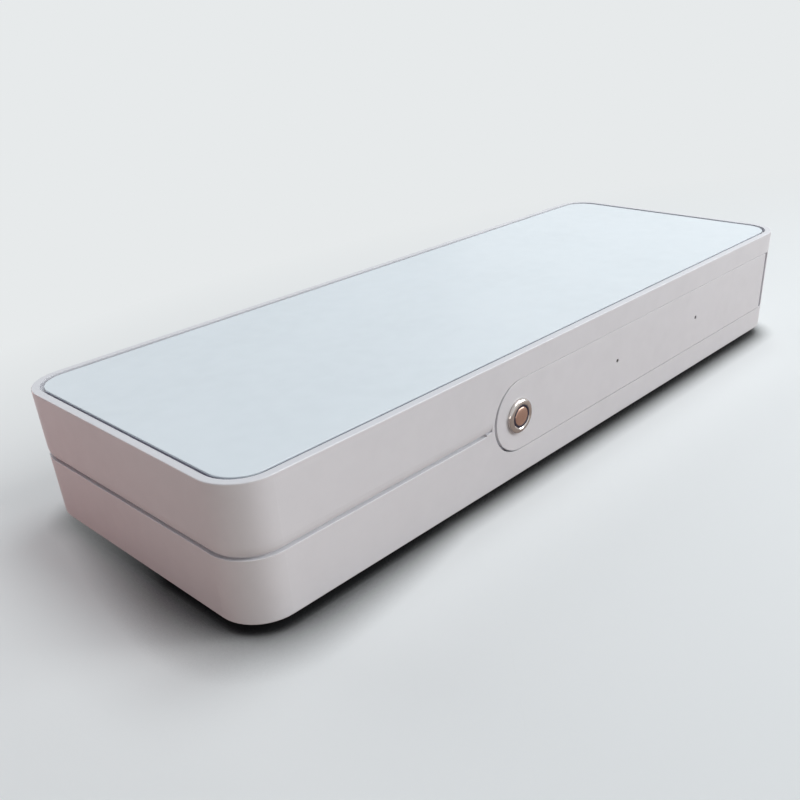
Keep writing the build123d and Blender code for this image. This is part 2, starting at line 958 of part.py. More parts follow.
# Indicators: a lens through the front plate, and a lamp behind it on a narrow board
lamp_front = plate_back + lens_flange_height + lamp_gap
indicator_board_front = plate_back + post_length
indicator_board_left = indicator_xs[0] - indicator_board_margin
indicator_board_right = indicator_xs[1] + indicator_board_margin
with BuildPart() as indicator_lenses:
    rounds(
        forward(0, front_y, line_z),
        lens_radius,
        -plate_thickness,
        [(x, 0) for x in indicator_xs],
    )
    rounds(
        forward(0, plate_back, line_z),
        lens_flange_radius,
        -lens_flange_height,
        [(x, 0) for x in indicator_xs],
    )
finish(indicator_lenses, "indicator_lenses")

with BuildPart() as indicator_lamps:
    for x in indicator_xs:
        rounds(forward(x, lamp_front, line_z), lamp_radius, -(indicator_board_front - lamp_front))
finish(indicator_lamps, "indicator_lamps")

with BuildPart() as indicator_board:
    blocks(
        rearward(0, indicator_board_front, line_z),
        indicator_board_right - indicator_board_left,
        indicator_board_height,
        board_thickness,
        [(-(indicator_board_left + indicator_board_right) / 2, 0)],
    )
    rounds(
        rearward(0, indicator_board_front, line_z),
        post_screw_radius + screw_clearance,
        board_thickness,
        [(-x, 0) for x in post_xs],
        mode=Mode.SUBTRACT,
    )
finish(indicator_board, "indicator_board")

# Rear panel with its cut-outs, and its countersunk screws
usb_input_z = board_top + usb_input_height / 2
usb_output_z = board_top + usb_output_height / 2
with BuildPart() as rear_panel:
    blocks(
        rearward(0, rear_face, rear_z),
        rear_panel_width,
        rear_panel_height,
        -rear_panel_thickness,
        corner=rear_panel_corner,
    )
    sunk_holes(
        rearward(0, rear_face, rear_z),
        rear_screw_radius + screw_clearance,
        rear_panel_thickness,
        rear_screw_head_radius + screw_clearance,
        rear_screw_head_radius - rear_screw_radius,
        rear_screw_points,
    )
    blocks(
        rearward(inlet_x, rear_face, rear_z),
        inlet_body_width + 2 * inlet_cutout_gap,
        inlet_body_height + 2 * inlet_cutout_gap,
        -rear_panel_thickness,
        mode=Mode.SUBTRACT,
    )
    rounds(
        rearward(inlet_x, rear_face, rear_z),
        inlet_screw_radius + screw_clearance,
        -rear_panel_thickness,
        [(-inlet_screw_spacing / 2, 0), (inlet_screw_spacing / 2, 0)],
        mode=Mode.SUBTRACT,
    )
    blocks(
        rearward(usb_input_x, rear_face, usb_input_z),
        usb_input_width + 2 * usb_cutout_gap,
        usb_input_height + 2 * usb_cutout_gap,
        -rear_panel_thickness,
        mode=Mode.SUBTRACT,
    )
    blocks(
        rearward(usb_output_x, rear_face, usb_output_z),
        usb_output_width + 2 * usb_cutout_gap,
        usb_output_height + 2 * usb_cutout_gap,
        -rear_panel_thickness,
        mode=Mode.SUBTRACT,
    )
    rounds(
        rearward(0, rear_face, rear_z),
        coax_thread_radius + coax_clearance,
        -rear_panel_thickness,
        [(-x, 0) for x in coax_xs],
        mode=Mode.SUBTRACT,
    )
finish(rear_panel, "rear_panel")

with BuildPart() as rear_panel_screws:
    sunk_screws(
        rearward(0, rear_face, rear_z),
        rear_screw_radius,
        rear_screw_length,
        rear_screw_head_radius,
        rear_screw_head_radius - rear_screw_radius,
        rear_screw_points,
    )
finish(rear_panel_screws, "rear_panel_screws")

# Mains inlet: a flanged body with the cavity for the plug and a slot for the fuse drawer
inlet_face = rear_face + inlet_flange_thickness
cavity_z = rear_z + cavity_rise
drawer_z = rear_z - drawer_drop
cavity_floor = inlet_face - cavity_depth
pin_places = [(-pin_spacing / 2, -pin_offset), (0, pin_offset), (pin_spacing / 2, -pin_offset)]
with BuildPart() as mains_inlet:
    blocks(
        rearward(inlet_x, rear_face, rear_z),
        inlet_flange_width,
        inlet_flange_height,
        inlet_flange_thickness,
        corner=rear_panel_corner,
    )
    blocks(
        rearward(inlet_x, rear_face, rear_z),
        inlet_body_width,
        inlet_body_height,
        -inlet_body_depth,
    )
    with BuildSketch(rearward(inlet_x, inlet_face, cavity_z)) as cavity:
        Rectangle(cavity_width, cavity_height)
        chamfer(cavity.vertices().group_by(Axis.Y)[-1], cavity_chamfer)
    extrude(amount=-cavity_depth, mode=Mode.SUBTRACT)
    blocks(
        rearward(inlet_x, inlet_face, drawer_z),
        drawer_width + 2 * drawer_clearance,
        drawer_height + 2 * drawer_clearance,
        -drawer_depth - drawer_clearance,
        mode=Mode.SUBTRACT,
    )
    blocks(
        rearward(inlet_x, cavity_floor, cavity_z),
        pin_width + 2 * pin_clearance,
        pin_height + 2 * pin_clearance,
        -inlet_body_depth,
        pin_places,
        mode=Mode.SUBTRACT,
    )
    sunk_holes(
        rearward(inlet_x, inlet_face, rear_z),
        inlet_screw_radius + screw_clearance,
        inlet_flange_thickness,
        inlet_screw_head_radius + screw_clearance,
        inlet_screw_head_radius - inlet_screw_radius,
        [(-inlet_screw_spacing / 2, 0), (inlet_screw_spacing / 2, 0)],
    )
finish(mains_inlet, "mains_inlet")

inlet_body_back = rear_face - inlet_body_depth
with BuildPart() as inlet_pins:
    blocks(
        rearward(inlet_x, cavity_floor + pin_length, cavity_z),
        pin_width,
        pin_height,
        -(cavity_floor + pin_length - inlet_body_back),
        pin_places,
    )
    blocks(
        rearward(inlet_x, inlet_body_back, cavity_z),
        tab_thickness,
        tab_width,
        -tab_length,
        pin_places,
    )
finish(inlet_pins, "inlet_pins")

inlet_screw_length = inlet_flange_thickness + rear_panel_thickness + inlet_nut_thickness + screw_end_gap
with BuildPart() as inlet_screws:
    for side in (-1, 1):
        screw_x = inlet_x + side * inlet_screw_spacing / 2
        sunk_screws(
            rearward(screw_x, inlet_face, rear_z),
            inlet_screw_radius,
            inlet_screw_length,
            inlet_screw_head_radius,
            inlet_screw_head_radius - inlet_screw_radius,
        )
finish(inlet_screws, "inlet_screws")

with BuildPart() as inlet_nuts:
    for side in (-1, 1):
        nut_place = forward(inlet_x + side * inlet_screw_spacing / 2, rear_panel_back, rear_z)
        hexagons(nut_place, inlet_nut_flats, inlet_nut_thickness)
        rounds(nut_place, inlet_screw_radius + thread_clearance, inlet_nut_thickness, mode=Mode.SUBTRACT)
finish(inlet_nuts, "inlet_nuts")

# Fuse drawer, which slides out to the rear, with the fuse lying across it
with BuildPart() as fuse_drawer:
    blocks(
        rearward(inlet_x, inlet_face + drawer_clearance, drawer_z),
        drawer_width,
        drawer_height,
        -drawer_depth,
    )
    blocks(
        rearward(inlet_x, inlet_face + drawer_clearance, drawer_z),
        drawer_lip_width,
        drawer_lip_height,
        drawer_lip_thickness,
    )
    blocks(
        level(inlet_x, inlet_face - fuse_set_back, drawer_z + drawer_height / 2),
        fuse_length + 2 * fuse_clearance,
        2 * (fuse_radius + fuse_clearance),
        -(drawer_height - drawer_floor),
        mode=Mode.SUBTRACT,
    )
finish(fuse_drawer, "fuse_drawer")

fuse_z = drawer_z - drawer_height / 2 + drawer_floor + fuse_radius
fuse_plane = Plane(
    origin=(inlet_x - fuse_length / 2, inlet_face - fuse_set_back, fuse_z), x_dir=(0, 1, 0), z_dir=(1, 0, 0)
)
with BuildPart() as fuse:
    rounds(fuse_plane, fuse_glass_radius, fuse_length)
    rounds(fuse_plane, fuse_radius, fuse_cap_length)
    rounds(fuse_plane.offset(fuse_length), fuse_radius, -fuse_cap_length)
finish(fuse, "fuse")

# USB sockets: metal shells with a plastic tongue in the mouth
usb_mouth = rear_face + usb_proud
with BuildPart() as usb_input_shell:
    blocks(
        rearward(usb_input_x, usb_mouth, usb_input_z),
        usb_input_width,
        usb_input_height,
        -usb_input_depth,
    )
    blocks(
        rearward(usb_input_x, usb_mouth, usb_input_z),
        usb_input_mouth_width,
        usb_input_mouth_height,
        -usb_input_mouth_depth,
        mode=Mode.SUBTRACT,
    )
finish(usb_input_shell, "usb_input_shell")

with BuildPart() as usb_output_shell:
    blocks(
        rearward(usb_output_x, usb_mouth, usb_output_z),
        usb_output_width,
        usb_output_height,
        -usb_output_depth,
    )
    blocks(
        rearward(usb_output_x, usb_mouth, usb_output_z),
        usb_output_mouth_width,
        usb_output_mouth_height,
        -usb_output_mouth_depth,
        mode=Mode.SUBTRACT,
    )
finish(usb_output_shell, "usb_output_shell")

with BuildPart() as usb_tongues:
    blocks(
        rearward(usb_input_x, usb_mouth - usb_input_mouth_depth, usb_input_z),
        usb_input_tongue_width,
        usb_input_tongue_height,
        usb_input_tongue_length,
    )
    blocks(
        rearward(usb_output_x, usb_mouth - usb_output_mouth_depth, usb_output_z + usb_output_tongue_rise),
        usb_output_tongue_width,
        usb_output_tongue_height,
        usb_output_tongue_length,
    )
finish(usb_tongues, "usb_tongues")

# Coaxial jacks: a threaded shell with a flange outside, an insulator, a centre contact and a nut
def coax_plane(x, y):
    """Sketch plane across a jack that faces the rear."""
    return rearward(x, y, rear_z)


with BuildPart() as coax_jacks:
    for x in coax_xs:
        rounds(coax_plane(x, rear_face), coax_radius, coax_reach)
        rounds(coax_plane(x, rear_face), coax_flange_radius, coax_flange_thickness)
        rounds(coax_plane(x, rear_face), coax_thread_radius, -coax_thread_length)
        rounds(
            coax_plane(x, rear_face + coax_reach),
            coax_bore,
            -(coax_reach + coax_thread_length),
            mode=Mode.SUBTRACT,
        )
finish(coax_jacks, "coax_jacks")

with BuildPart() as coax_insulators:
    for x in coax_xs:
        rounds(coax_plane(x, rear_face + coax_reach), coax_bore, -(coax_reach + coax_thread_length))
        rounds(
            coax_plane(x, rear_face + coax_reach),
            coax_contact_radius,
            -(coax_reach + coax_thread_length),
            mode=Mode.SUBTRACT,
        )
finish(coax_insulators, "coax_insulators")

with BuildPart() as coax_contacts:
    for x in coax_xs:
        coax_mouth = coax_plane(x, rear_face + coax_reach)
        rounds(coax_mouth, coax_contact_radius, -(coax_reach + coax_thread_length))
        rounds(coax_mouth, coax_contact_bore, -coax_contact_depth, mode=Mode.SUBTRACT)
        rounds(coax_plane(x, rear_face - coax_thread_length), coax_tail_radius, -coax_tail_length)
finish(coax_contacts, "coax_contacts")

with BuildPart() as coax_nuts:
    for x in coax_xs:
        hexagons(forward(x, rear_panel_back, rear_z), coax_nut_flats, coax_nut_thickness)
        rounds(
            forward(x, rear_panel_back, rear_z),
            coax_thread_radius + thread_clearance,
            coax_nut_thickness,
            mode=Mode.SUBTRACT,
        )
finish(coax_nuts, "coax_nuts")

# Long screws that draw the two shells together from below
with BuildPart() as shell_screws:
    pan_screws(
        downward(0, middle_y, body_bottom + shell_screw_recess),
        shell_screw_radius,
        seam_height - shell_screw_recess + shell_screw_bite,
        shell_screw_head_radius,
        shell_screw_head_height,
        from_below(boss_points),
    )
finish(shell_screws, "shell_screws")

# Feet: turned discs with a rubber pad let into the underside over the screw
with BuildPart() as feet:
    rounds(
        downward(0, middle_y, body_bottom),
        foot_radius,
        foot_height - foot_pad_proud,
        from_below(foot_points),
    )
    fillet(feet.faces().sort_by(Axis.Z)[0:4].edges(), foot_edge_radius)
    rounds(
        downward(0, middle_y, foot_pad_proud),
        foot_pad_radius + screw_clearance,
        -(foot_pad_thickness - foot_pad_proud),
        from_below(foot_points),
        mode=Mode.SUBTRACT,
    )
    sunk_holes(
        downward(0, middle_y, foot_pad_thickness),
        foot_screw_radius + screw_clearance,
        foot_height - foot_pad_thickness,
        foot_screw_head_radius + screw_clearance,
        foot_screw_head_height,
        from_below(foot_points),
    )
finish(feet, "feet")

with BuildPart() as foot_pads:
    rounds(downward(0, middle_y, 0), foot_pad_radius, -foot_pad_thickness, from_below(foot_points))
finish(foot_pads, "foot_pads")

with BuildPart() as foot_screws:
    sunk_screws(
        downward(0, middle_y, foot_pad_thickness),
        foot_screw_radius,
        foot_height - foot_pad_thickness + foot_screw_bite,
        foot_screw_head_radius,
        foot_screw_head_height,
        from_below(foot_points),
    )
finish(foot_screws, "foot_screws")

# Toroidal transformer, clamped to the floor between rubber pads by a dished disc and one bolt
winding_middle = ((winding_bore + winding_radius) / 2, winding_height / 2)
core_width = winding_radius - winding_bore - 2 * winding_cover
core_height = winding_height - 2 * winding_cover
with BuildPart() as transformer_windings:
    with BuildSketch(forward(transformer_x, transformer_y, winding_bottom)) as winding_section:
        with Locations(winding_middle):
            Rectangle(winding_radius - winding_bore, winding_height)
        fillet(winding_section.vertices().group_by(Axis.X)[-1], winding_round)
        fillet(winding_section.vertices().group_by(Axis.X)[0], winding_bore_round)
        with Locations(winding_middle):
            Rectangle(core_width, core_height, mode=Mode.SUBTRACT)
    revolve(axis=Axis((transformer_x, transformer_y, 0), (0, 0, 1)))
finish(transformer_windings, "transformer_windings")

with BuildPart() as transformer_core:
    with BuildSketch(forward(transformer_x, transformer_y, winding_bottom)):
        with Locations(winding_middle):
            Rectangle(core_width - 2 * core_clearance, core_height - 2 * core_clearance)
    revolve(axis=Axis((transformer_x, transformer_y, 0), (0, 0, 1)))
finish(transformer_core, "transformer_core")

with BuildPart() as transformer_pads:
    for pad_bottom in (inside_bottom, winding_top):
        pad_place = level(transformer_x, transformer_y, pad_bottom)
        rounds(pad_place, winding_radius - pad_inset, pad_thickness)
        rounds(pad_place, winding_bore, pad_thickness, mode=Mode.SUBTRACT)
finish(transformer_pads, "transformer_pads")

clamp_bottom = winding_top + pad_thickness
with BuildPart() as transformer_clamp:
    rounds(level(transformer_x, transformer_y, clamp_bottom), clamp_radius, clamp_thickness)
    rounds(
        level(transformer_x, transformer_y, clamp_bottom - clamp_hub_drop),
        clamp_hub_radius,
        clamp_thickness,
    )
    rounds(
        level(transformer_x, transformer_y, clamp_top),
        clamp_hub_radius - clamp_thickness,
        clamp_thickness,
        mode=Mode.SUBTRACT,
    )
    rounds(
        level(transformer_x, transformer_y, clamp_bottom - clamp_hub_drop),
        clamp_bolt_radius + screw_clearance,
        clamp_thickness,
        mode=Mode.SUBTRACT,
    )
finish(transformer_clamp, "transformer_clamp")

with BuildPart() as transformer_bolt:
    sunk_screws(
        downward(transformer_x, transformer_y, body_bottom),
        clamp_bolt_radius,
        clamp_top + clamp_nut_thickness + clamp_bolt_spare - body_bottom,
        clamp_bolt_head_radius,
        clamp_bolt_head_height,
    )
finish(transformer_bolt, "transformer_bolt")

with BuildPart() as transformer_nut:
    hexagons(level(transformer_x, transformer_y, clamp_top), clamp_nut_flats, clamp_nut_thickness)
    rounds(
        level(transformer_x, transformer_y, clamp_top),
        clamp_bolt_radius + thread_clearance,
        clamp_nut_thickness,
        mode=Mode.SUBTRACT,
    )
finish(transformer_nut, "transformer_nut")

# Standoffs and the two boards that they carry
with BuildPart() as board_standoffs:
    hexagons(level(0, 0, inside_bottom), standoff_flats, standoff_height, standoff_points)
    rounds(level(0, 0, inside_bottom), standoff_stud_radius, -standoff_stud_length, standoff_points)
    rounds(
        level(0, 0, board_bottom),
        board_screw_radius + thread_clearance,
        -(board_screw_bite + screw_end_gap),
        standoff_points,
        mode=Mode.SUBTRACT,
    )
finish(board_standoffs, "board_standoffs")

with BuildPart() as board_screws:
    pan_screws(
        level(0, 0, board_top),
        board_screw_radius,
        board_thickness + board_screw_bite,
        board_screw_head_radius,
        board_screw_head_height,
        standoff_points,
    )
    pan_screws(
        rearward(0, indicator_board_front + board_thickness, line_z),
        post_screw_radius,
        board_thickness + post_screw_bite,
        plate_screw_head_radius,
        plate_screw_head_height,
        [(-x, 0) for x in post_xs],
    )
finish(board_screws, "board_screws")

with BuildPart() as power_board:
    blocks(
        level(*power_board_centre, board_bottom),
        power_board_width,
        power_board_depth,
        board_thickness,
    )
    rounds(
        level(0, 0, board_bottom),
        board_hole_radius,
        board_thickness,
        standoff_points[:4],
        mode=Mode.SUBTRACT,
    )
finish(power_board, "power_board")

with BuildPart() as main_board:
    blocks(
        level(*main_board_centre, board_bottom),
        main_board_width,
        main_board_depth,
        board_thickness,
    )
    rounds(
        level(0, 0, board_bottom),
        board_hole_radius,
        board_thickness,
        standoff_points[4:],
        mode=Mode.SUBTRACT,
    )
finish(main_board, "main_board")


def on_power_board(place):
    """Sketch plane on the power board at a place measured from its left front corner."""
    return level(power_board_left + place[0], power_board_front + place[1], board_top)


def on_main_board(place):
    """Sketch plane on the main board at a place measured from its left front corner."""
    return level(main_board_left + board_stretch * place[0], main_board_front + place[1], board_top)


# What stands on the power board
with BuildPart() as bridge_rectifier:
    blocks(on_power_board(rectifier_at), *rectifier_size)
    chamfer(bridge_rectifier.edges().filter_by(Axis.Y).sort_by(Axis.Z)[-1:], rectifier_size[2] / 4)
finish(bridge_rectifier, "bridge_rectifier")

capacitor_points = [
    (side * capacitor_pitch / 2, end * capacitor_pitch / 2) for side in (-1, 1) for end in (-1, 1)
]
with BuildPart() as smoothing_capacitors:
    rounds(on_power_board(capacitor_at), capacitor_radius, capacitor_height, capacitor_points)
    fillet(smoothing_capacitors.faces().sort_by(Axis.Z)[-4:].edges(), capacitor_edge_radius)
finish(smoothing_capacitors, "smoothing_capacitors")

with BuildPart() as regulator_heatsink:
    blocks(on_power_board(heatsink_at), *heatsink_size)
    fin_pitch = (heatsink_size[1] - heatsink_fin_thickness) / (heatsink_fin_count - 1)
    blocks(
        on_power_board(heatsink_at),
        heatsink_fin_depth,
        heatsink_fin_thickness,
        heatsink_size[2],
        [
            (
                (heatsink_size[0] + heatsink_fin_depth) / 2,
                place,
            )
            for place in spread(0, heatsink_fin_count, fin_pitch)
        ],
    )
finish(regulator_heatsink, "regulator_heatsink")

with BuildPart() as voltage_regulators:
    blocks(
        on_power_board(heatsink_at),
        *regulator_size,
        [
            (
                -(heatsink_size[0] + regulator_size[0]) / 2,
                place,
            )
            for place in spread(0, regulator_count, regulator_pitch)
        ],
    )
finish(voltage_regulators, "voltage_regulators")

terminal_ys = spread(0, terminal_count, terminal_pitch)
terminal_face = power_board_left + terminal_at[0][0] - terminal_size[0] / 2
terminal_z = board_top + terminal_size[2] / 2
with BuildPart() as terminal_blocks:
    for place in terminal_at:
        blocks(on_power_board(place), *terminal_size)
        holes_plane = Plane(
            origin=(terminal_face, power_board_front + place[1], terminal_z),
            x_dir=(0, -1, 0),
            z_dir=(-1, 0, 0),
        )
        rounds(
            holes_plane,
            terminal_hole_radius,
            -terminal_hole_depth,
            [(y, 0) for y in terminal_ys],
            mode=Mode.SUBTRACT,
        )
finish(terminal_blocks, "terminal_blocks")

# What stands on the main board
with BuildPart() as clock_oscillator:
    blocks(on_main_board(clock_at), *clock_size, corner=clock_edge_radius)
    fillet(clock_oscillator.faces().sort_by(Axis.Z)[-1].edges(), clock_edge_radius / 2)
finish(clock_oscillator, "clock_oscillator")

with BuildPart() as board_chips:
    for place, size in zip(chip_at, chip_sizes):
        blocks(on_main_board(place), *size)
finish(board_chips, "board_chips")

supply_xs = (power_board_right - header_inset, main_board_left + header_inset)
supply_ys = (power_board_front + power_header_from_front, main_board_front + main_header_from_front)
with BuildPart() as board_headers:
    for x, y in zip(supply_xs, supply_ys):
        blocks(level(x, y, board_top), *header_size)
    blocks(on_main_board(lamp_header_at), *lamp_header_size)
finish(board_headers, "board_headers")

# Earth stud in the floor, with the ring terminal of the earth lead under its nut
with BuildPart() as earth_stud:
    rounds(level(earth_x, earth_y, inside_bottom), earth_stud_radius, earth_stud_height)
    rounds(level(earth_x, earth_y, inside_bottom), earth_stud_radius, -earth_stud_bite)
finish(earth_stud, "earth_stud")

with BuildPart() as earth_nut:
    hexagons(level(earth_x, earth_y, inside_bottom + lug_thickness), earth_nut_flats, earth_nut_thickness)
    rounds(
        level(earth_x, earth_y, inside_bottom + lug_thickness),
        earth_stud_radius + thread_clearance,
        earth_nut_thickness,
        mode=Mode.SUBTRACT,
    )
finish(earth_nut, "earth_nut")

# Inner leads. Each route is chosen by hand between the two terminals that its wire joins.
tab_end = inlet_body_back - tab_length
pin_z = cavity_z - pin_offset
earth_pin_z = cavity_z + pin_offset
live_x = inlet_x + pin_spacing / 2
neutral_x = inlet_x - pin_spacing / 2
blade_xs = (switch_x - switch_blade_offset, switch_x + switch_blade_offset)
channel_x = power_board_left - wire_channel / 2
lead_end_x = terminal_face + terminal_hole_depth
mains_ys = [power_board_front + terminal_at[0][1] + y for y in terminal_ys]
winding_ys = [power_board_front + terminal_at[1][1] + y for y in terminal_ys]
live_route = (
    (live_x, tab_end, pin_z),
    (live_x, tab_end - 7, pin_z),
    (live_x + 5, tab_end - 11, pin_z - 4.5),
    (live_x + 20, tab_end - 12.5, pin_z - 12.5),
    (live_x + 35, tab_end - 20, pin_z - 21.5),
    (channel_x - 4, tab_end - 34, inside_bottom + 5.5),
    (channel_x + 0.5, tab_end - 54, inside_bottom + 4),
    (channel_x - 0.5, power_board_front + 15, inside_bottom + 3.8),
    (channel_x + 2, power_board_front - 4, inside_bottom + 5),
    (channel_x + 12, power_board_front - 16, inside_bottom + 11),
    (blade_xs[0] - 17.6, power_board_front - 12, line_z - 9.8),
    (blade_xs[0] - 15.2, blade_end + 12, line_z - 1.3),
    (blade_xs[0] - 7.6, blade_end + 16.3, line_z),
    (blade_xs[0], blade_end + 11.9, line_z),
    (blade_xs[0], blade_end, line_z),
)
neutral_route = (
    (neutral_x, tab_end, pin_z),
    (neutral_x, tab_end - 8.4, pin_z),
    (neutral_x + 5.5, tab_end - 13.9, pin_z - 0.4),
    (neutral_x + 21, tab_end - 14.9, pin_z - 1.6),
    (neutral_x + 37, tab_end - 18.9, pin_z - 3.6),
    (neutral_x + 52, tab_end - 28.4, pin_z - 6.1),
    (channel_x - 5, tab_end - 44, terminal_z + 9),
    (channel_x - 1.5, mains_ys[1] + 8, terminal_z + 6.5),
    (terminal_face - 6, mains_ys[1], terminal_z),
    (lead_end_x, mains_ys[1], terminal_z),
)
switched_room = mains_ys[0] - blade_end
switched_route = (
    (blade_xs[1], blade_end, line_z),
    (blade_xs[1], blade_end + 0.55 * switched_room, line_z),
    (blade_xs[1] - 7, blade_end + 0.89 * switched_room, line_z + 1),
    (blade_xs[1] - 23, mains_ys[0], line_z + 1.5),
    (terminal_face + 3, mains_ys[0] + 0.4, line_z + 2),
    (terminal_face - 8, mains_ys[0], terminal_z + 15.9),
    (terminal_face - 12.6, mains_ys[0], terminal_z + 7.95),
    (terminal_face - 8, mains_ys[0], terminal_z),
    (lead_end_x, mains_ys[0], terminal_z),
)
with BuildPart() as mains_leads:
    for route_points in (live_route, neutral_route, switched_route):
        lead(route_points, mains_lead_radius)
finish(mains_leads, "mains_leads")

lug_end = earth_x - lug_length
lug_lead_z = inside_bottom + mains_lead_radius
earth_route = (
    (inlet_x, tab_end, earth_pin_z),
    (inlet_x, tab_end - 7.9, earth_pin_z),
    (inlet_x + 5, tab_end - 12.4, earth_pin_z),
    (inlet_x + 14, tab_end - 11.9, earth_pin_z),
    (inlet_x + 20, tab_end - 4.9, earth_pin_z - 0.6),
    (inlet_x + 21, tab_end + 3.1, earth_pin_z - 4.6),
    (inlet_x + 21, earth_y - 0.7, earth_pin_z - 12.6),
    (inlet_x + 21, earth_y, inside_bottom + 7),
    (lug_end - 7.3, earth_y, lug_lead_z),
    (lug_end, earth_y, lug_lead_z),
)
with BuildPart() as earth_lead:
    blocks(level((earth_x + lug_end) / 2, earth_y, inside_bottom), lug_length, lug_width, lug_thickness)
    rounds(level(earth_x, earth_y, inside_bottom), lug_radius, lug_thickness)
    rounds(
        level(earth_x, earth_y, inside_bottom),
        earth_stud_radius + screw_clearance,
        lug_thickness,
        mode=Mode.SUBTRACT,
    )
    rounds(
        Plane(origin=(lug_end, earth_y, lug_lead_z), z_dir=(1, 0, 0)),
        mains_lead_radius,
        lug_barrel_length,
    )
    lead(earth_route, mains_lead_radius)
finish(earth_lead, "earth_lead")

with BuildPart() as transformer_leads:
    winding_middle_axis = Vector(transformer_x, transformer_y, terminal_z + winding_exit_rise)
    for angle, y in zip(winding_exit_angles, mains_ys[2:] + winding_ys):
        outward = Vector(1, 0, 0).rotate(Axis.Z, angle)
        lead(
            (
                winding_middle_axis + outward * winding_radius,
                winding_middle_axis + outward * (winding_radius + winding_exit_run),
                (terminal_face - 5, y, terminal_z),
                (lead_end_x, y, terminal_z),
            ),
            winding_lead_radius,
        )
finish(transformer_leads, "transformer_leads")

with BuildPart() as signal_leads:
    header_z = board_top + header_size[2] / 2
    supply_start_x = supply_xs[0] + header_size[0] / 2
    supply_end_x = supply_xs[1] - header_size[0] / 2
    supply_starts = spread(supply_ys[0], supply_lead_count, lead_pitch)
    supply_ends = spread(supply_ys[1], supply_lead_count, lead_pitch)
    for start_y, end_y in zip(supply_starts, supply_ends):
        lead(
            (
                (supply_start_x, start_y, header_z),
                (supply_start_x + 3, start_y, header_z),
                (supply_start_x + 6, start_y, header_z + 2.5),
                (supply_end_x - 6, end_y, header_z + 2.7),
                (supply_end_x - 3, end_y, header_z),
                (supply_end_x, end_y, header_z),
            ),
            signal_lead_radius,
        )
    lamp_header_x = main_board_left + board_stretch * lamp_header_at[0]
    lamp_header_y = main_board_front + lamp_header_at[1]
    lamp_header_top = board_top + lamp_header_size[2]
    board_back = indicator_board_front + board_thickness
    for x in spread(lamp_header_x, lamp_lead_count, lead_pitch):
        lead(
            (
                (x + 30, board_back, line_z - 3),
                (x + 30, board_back + 8, line_z - 3),
                (x + 10, lamp_header_y - 8, line_z),
                (x, lamp_header_y, line_z - 2),
                (x, lamp_header_y, lamp_header_top),
            ),
            signal_lead_radius,
        )
finish(signal_leads, "signal_leads")
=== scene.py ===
"""Looks for a digital audio reclocker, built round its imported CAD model. Metres, in the CAD's frame."""

from math import cos, pi, sin

import bmesh
import bpy
from mathutils import Matrix, Vector


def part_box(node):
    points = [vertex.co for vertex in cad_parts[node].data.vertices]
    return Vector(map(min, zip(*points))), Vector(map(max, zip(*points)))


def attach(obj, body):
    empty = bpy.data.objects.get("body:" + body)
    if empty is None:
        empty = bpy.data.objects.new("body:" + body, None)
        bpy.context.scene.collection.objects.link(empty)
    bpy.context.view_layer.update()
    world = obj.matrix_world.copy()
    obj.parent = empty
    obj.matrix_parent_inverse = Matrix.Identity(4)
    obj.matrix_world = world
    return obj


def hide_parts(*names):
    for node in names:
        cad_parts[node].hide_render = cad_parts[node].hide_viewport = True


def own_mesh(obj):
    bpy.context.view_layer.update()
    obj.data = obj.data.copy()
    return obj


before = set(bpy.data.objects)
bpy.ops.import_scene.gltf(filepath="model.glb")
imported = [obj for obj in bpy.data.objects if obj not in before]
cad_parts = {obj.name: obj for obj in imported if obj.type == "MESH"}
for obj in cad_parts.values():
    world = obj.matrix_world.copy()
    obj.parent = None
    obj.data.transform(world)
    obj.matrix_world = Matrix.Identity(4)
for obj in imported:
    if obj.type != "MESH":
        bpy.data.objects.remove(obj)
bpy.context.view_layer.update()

MM = 0.001

# Directions that a piece can face
UP = (0, 0, 1)
DOWN = (0, 0, -1)
FRONT = (0, -1, 0)
REAR = (0, 1, 0)

# Colours, as they look on screen, 0 to 255
SHELL_PAINT = (216, 216, 220)
PLATE_PAINT = (217, 217, 221)
PANEL_LACQUER = (221, 229, 234)
# Painted shade on the top panel's edge, which darkens the gap round the panel
PANEL_GAP_SHADE = (104, 100, 122)
STEEL = (206, 203, 200)
BEZEL_STEEL = (206, 199, 195)
# The cap's steel is tinted warm: a painted reflection of warm surroundings
CAP_STEEL_PAINTED_REFLECTION = (206, 172, 156)
SCREW_STEEL = (150, 150, 153)
ALUMINIUM = (196, 196, 198)
BRASS = (224, 184, 98)
FLOOR_COLOUR = (228, 230, 230)
BOUNCE_COLOUR = (170, 157, 149)
# Colour of the painted shadow on the floor close to the object
PAINTED_SHADOW_COLOUR = (30, 31, 33)
BACKGROUND = (231, 234, 235)

# Sizes of the finishes' patterns
EDGE_SOFTNESS = 0.15 * MM
PAINT_CLOUDS = 60 * MM
PAINT_MOTTLE = 9 * MM
PAINT_PATCHES = 12 * MM
PAINT_EDGE = 0.5 * MM
PAINT_COAT = 0.15
PAINT_COAT_ROUGHNESS = 0.22
MOULD_CLOUDS = 15 * MM
MOULD_EDGE = 0.25 * MM
METAL_CLOUDS = 10 * MM

# The top panel's edge is painted dark below this height: painted shade in the gap round the panel
PANEL_GAP_SHADE_TOP = 69.3 * MM
PANEL_GAP_SHADE_SOFTNESS = 0.25 * MM


def linear(colour):
    """Turns a screen colour, 0 to 255, into the linear colour that a shader takes."""
    shares = [value / 255 for value in colour]
    return [s / 12.92 if s <= 0.04045 else ((s + 0.055) / 1.055) ** 2.4 for s in shares]


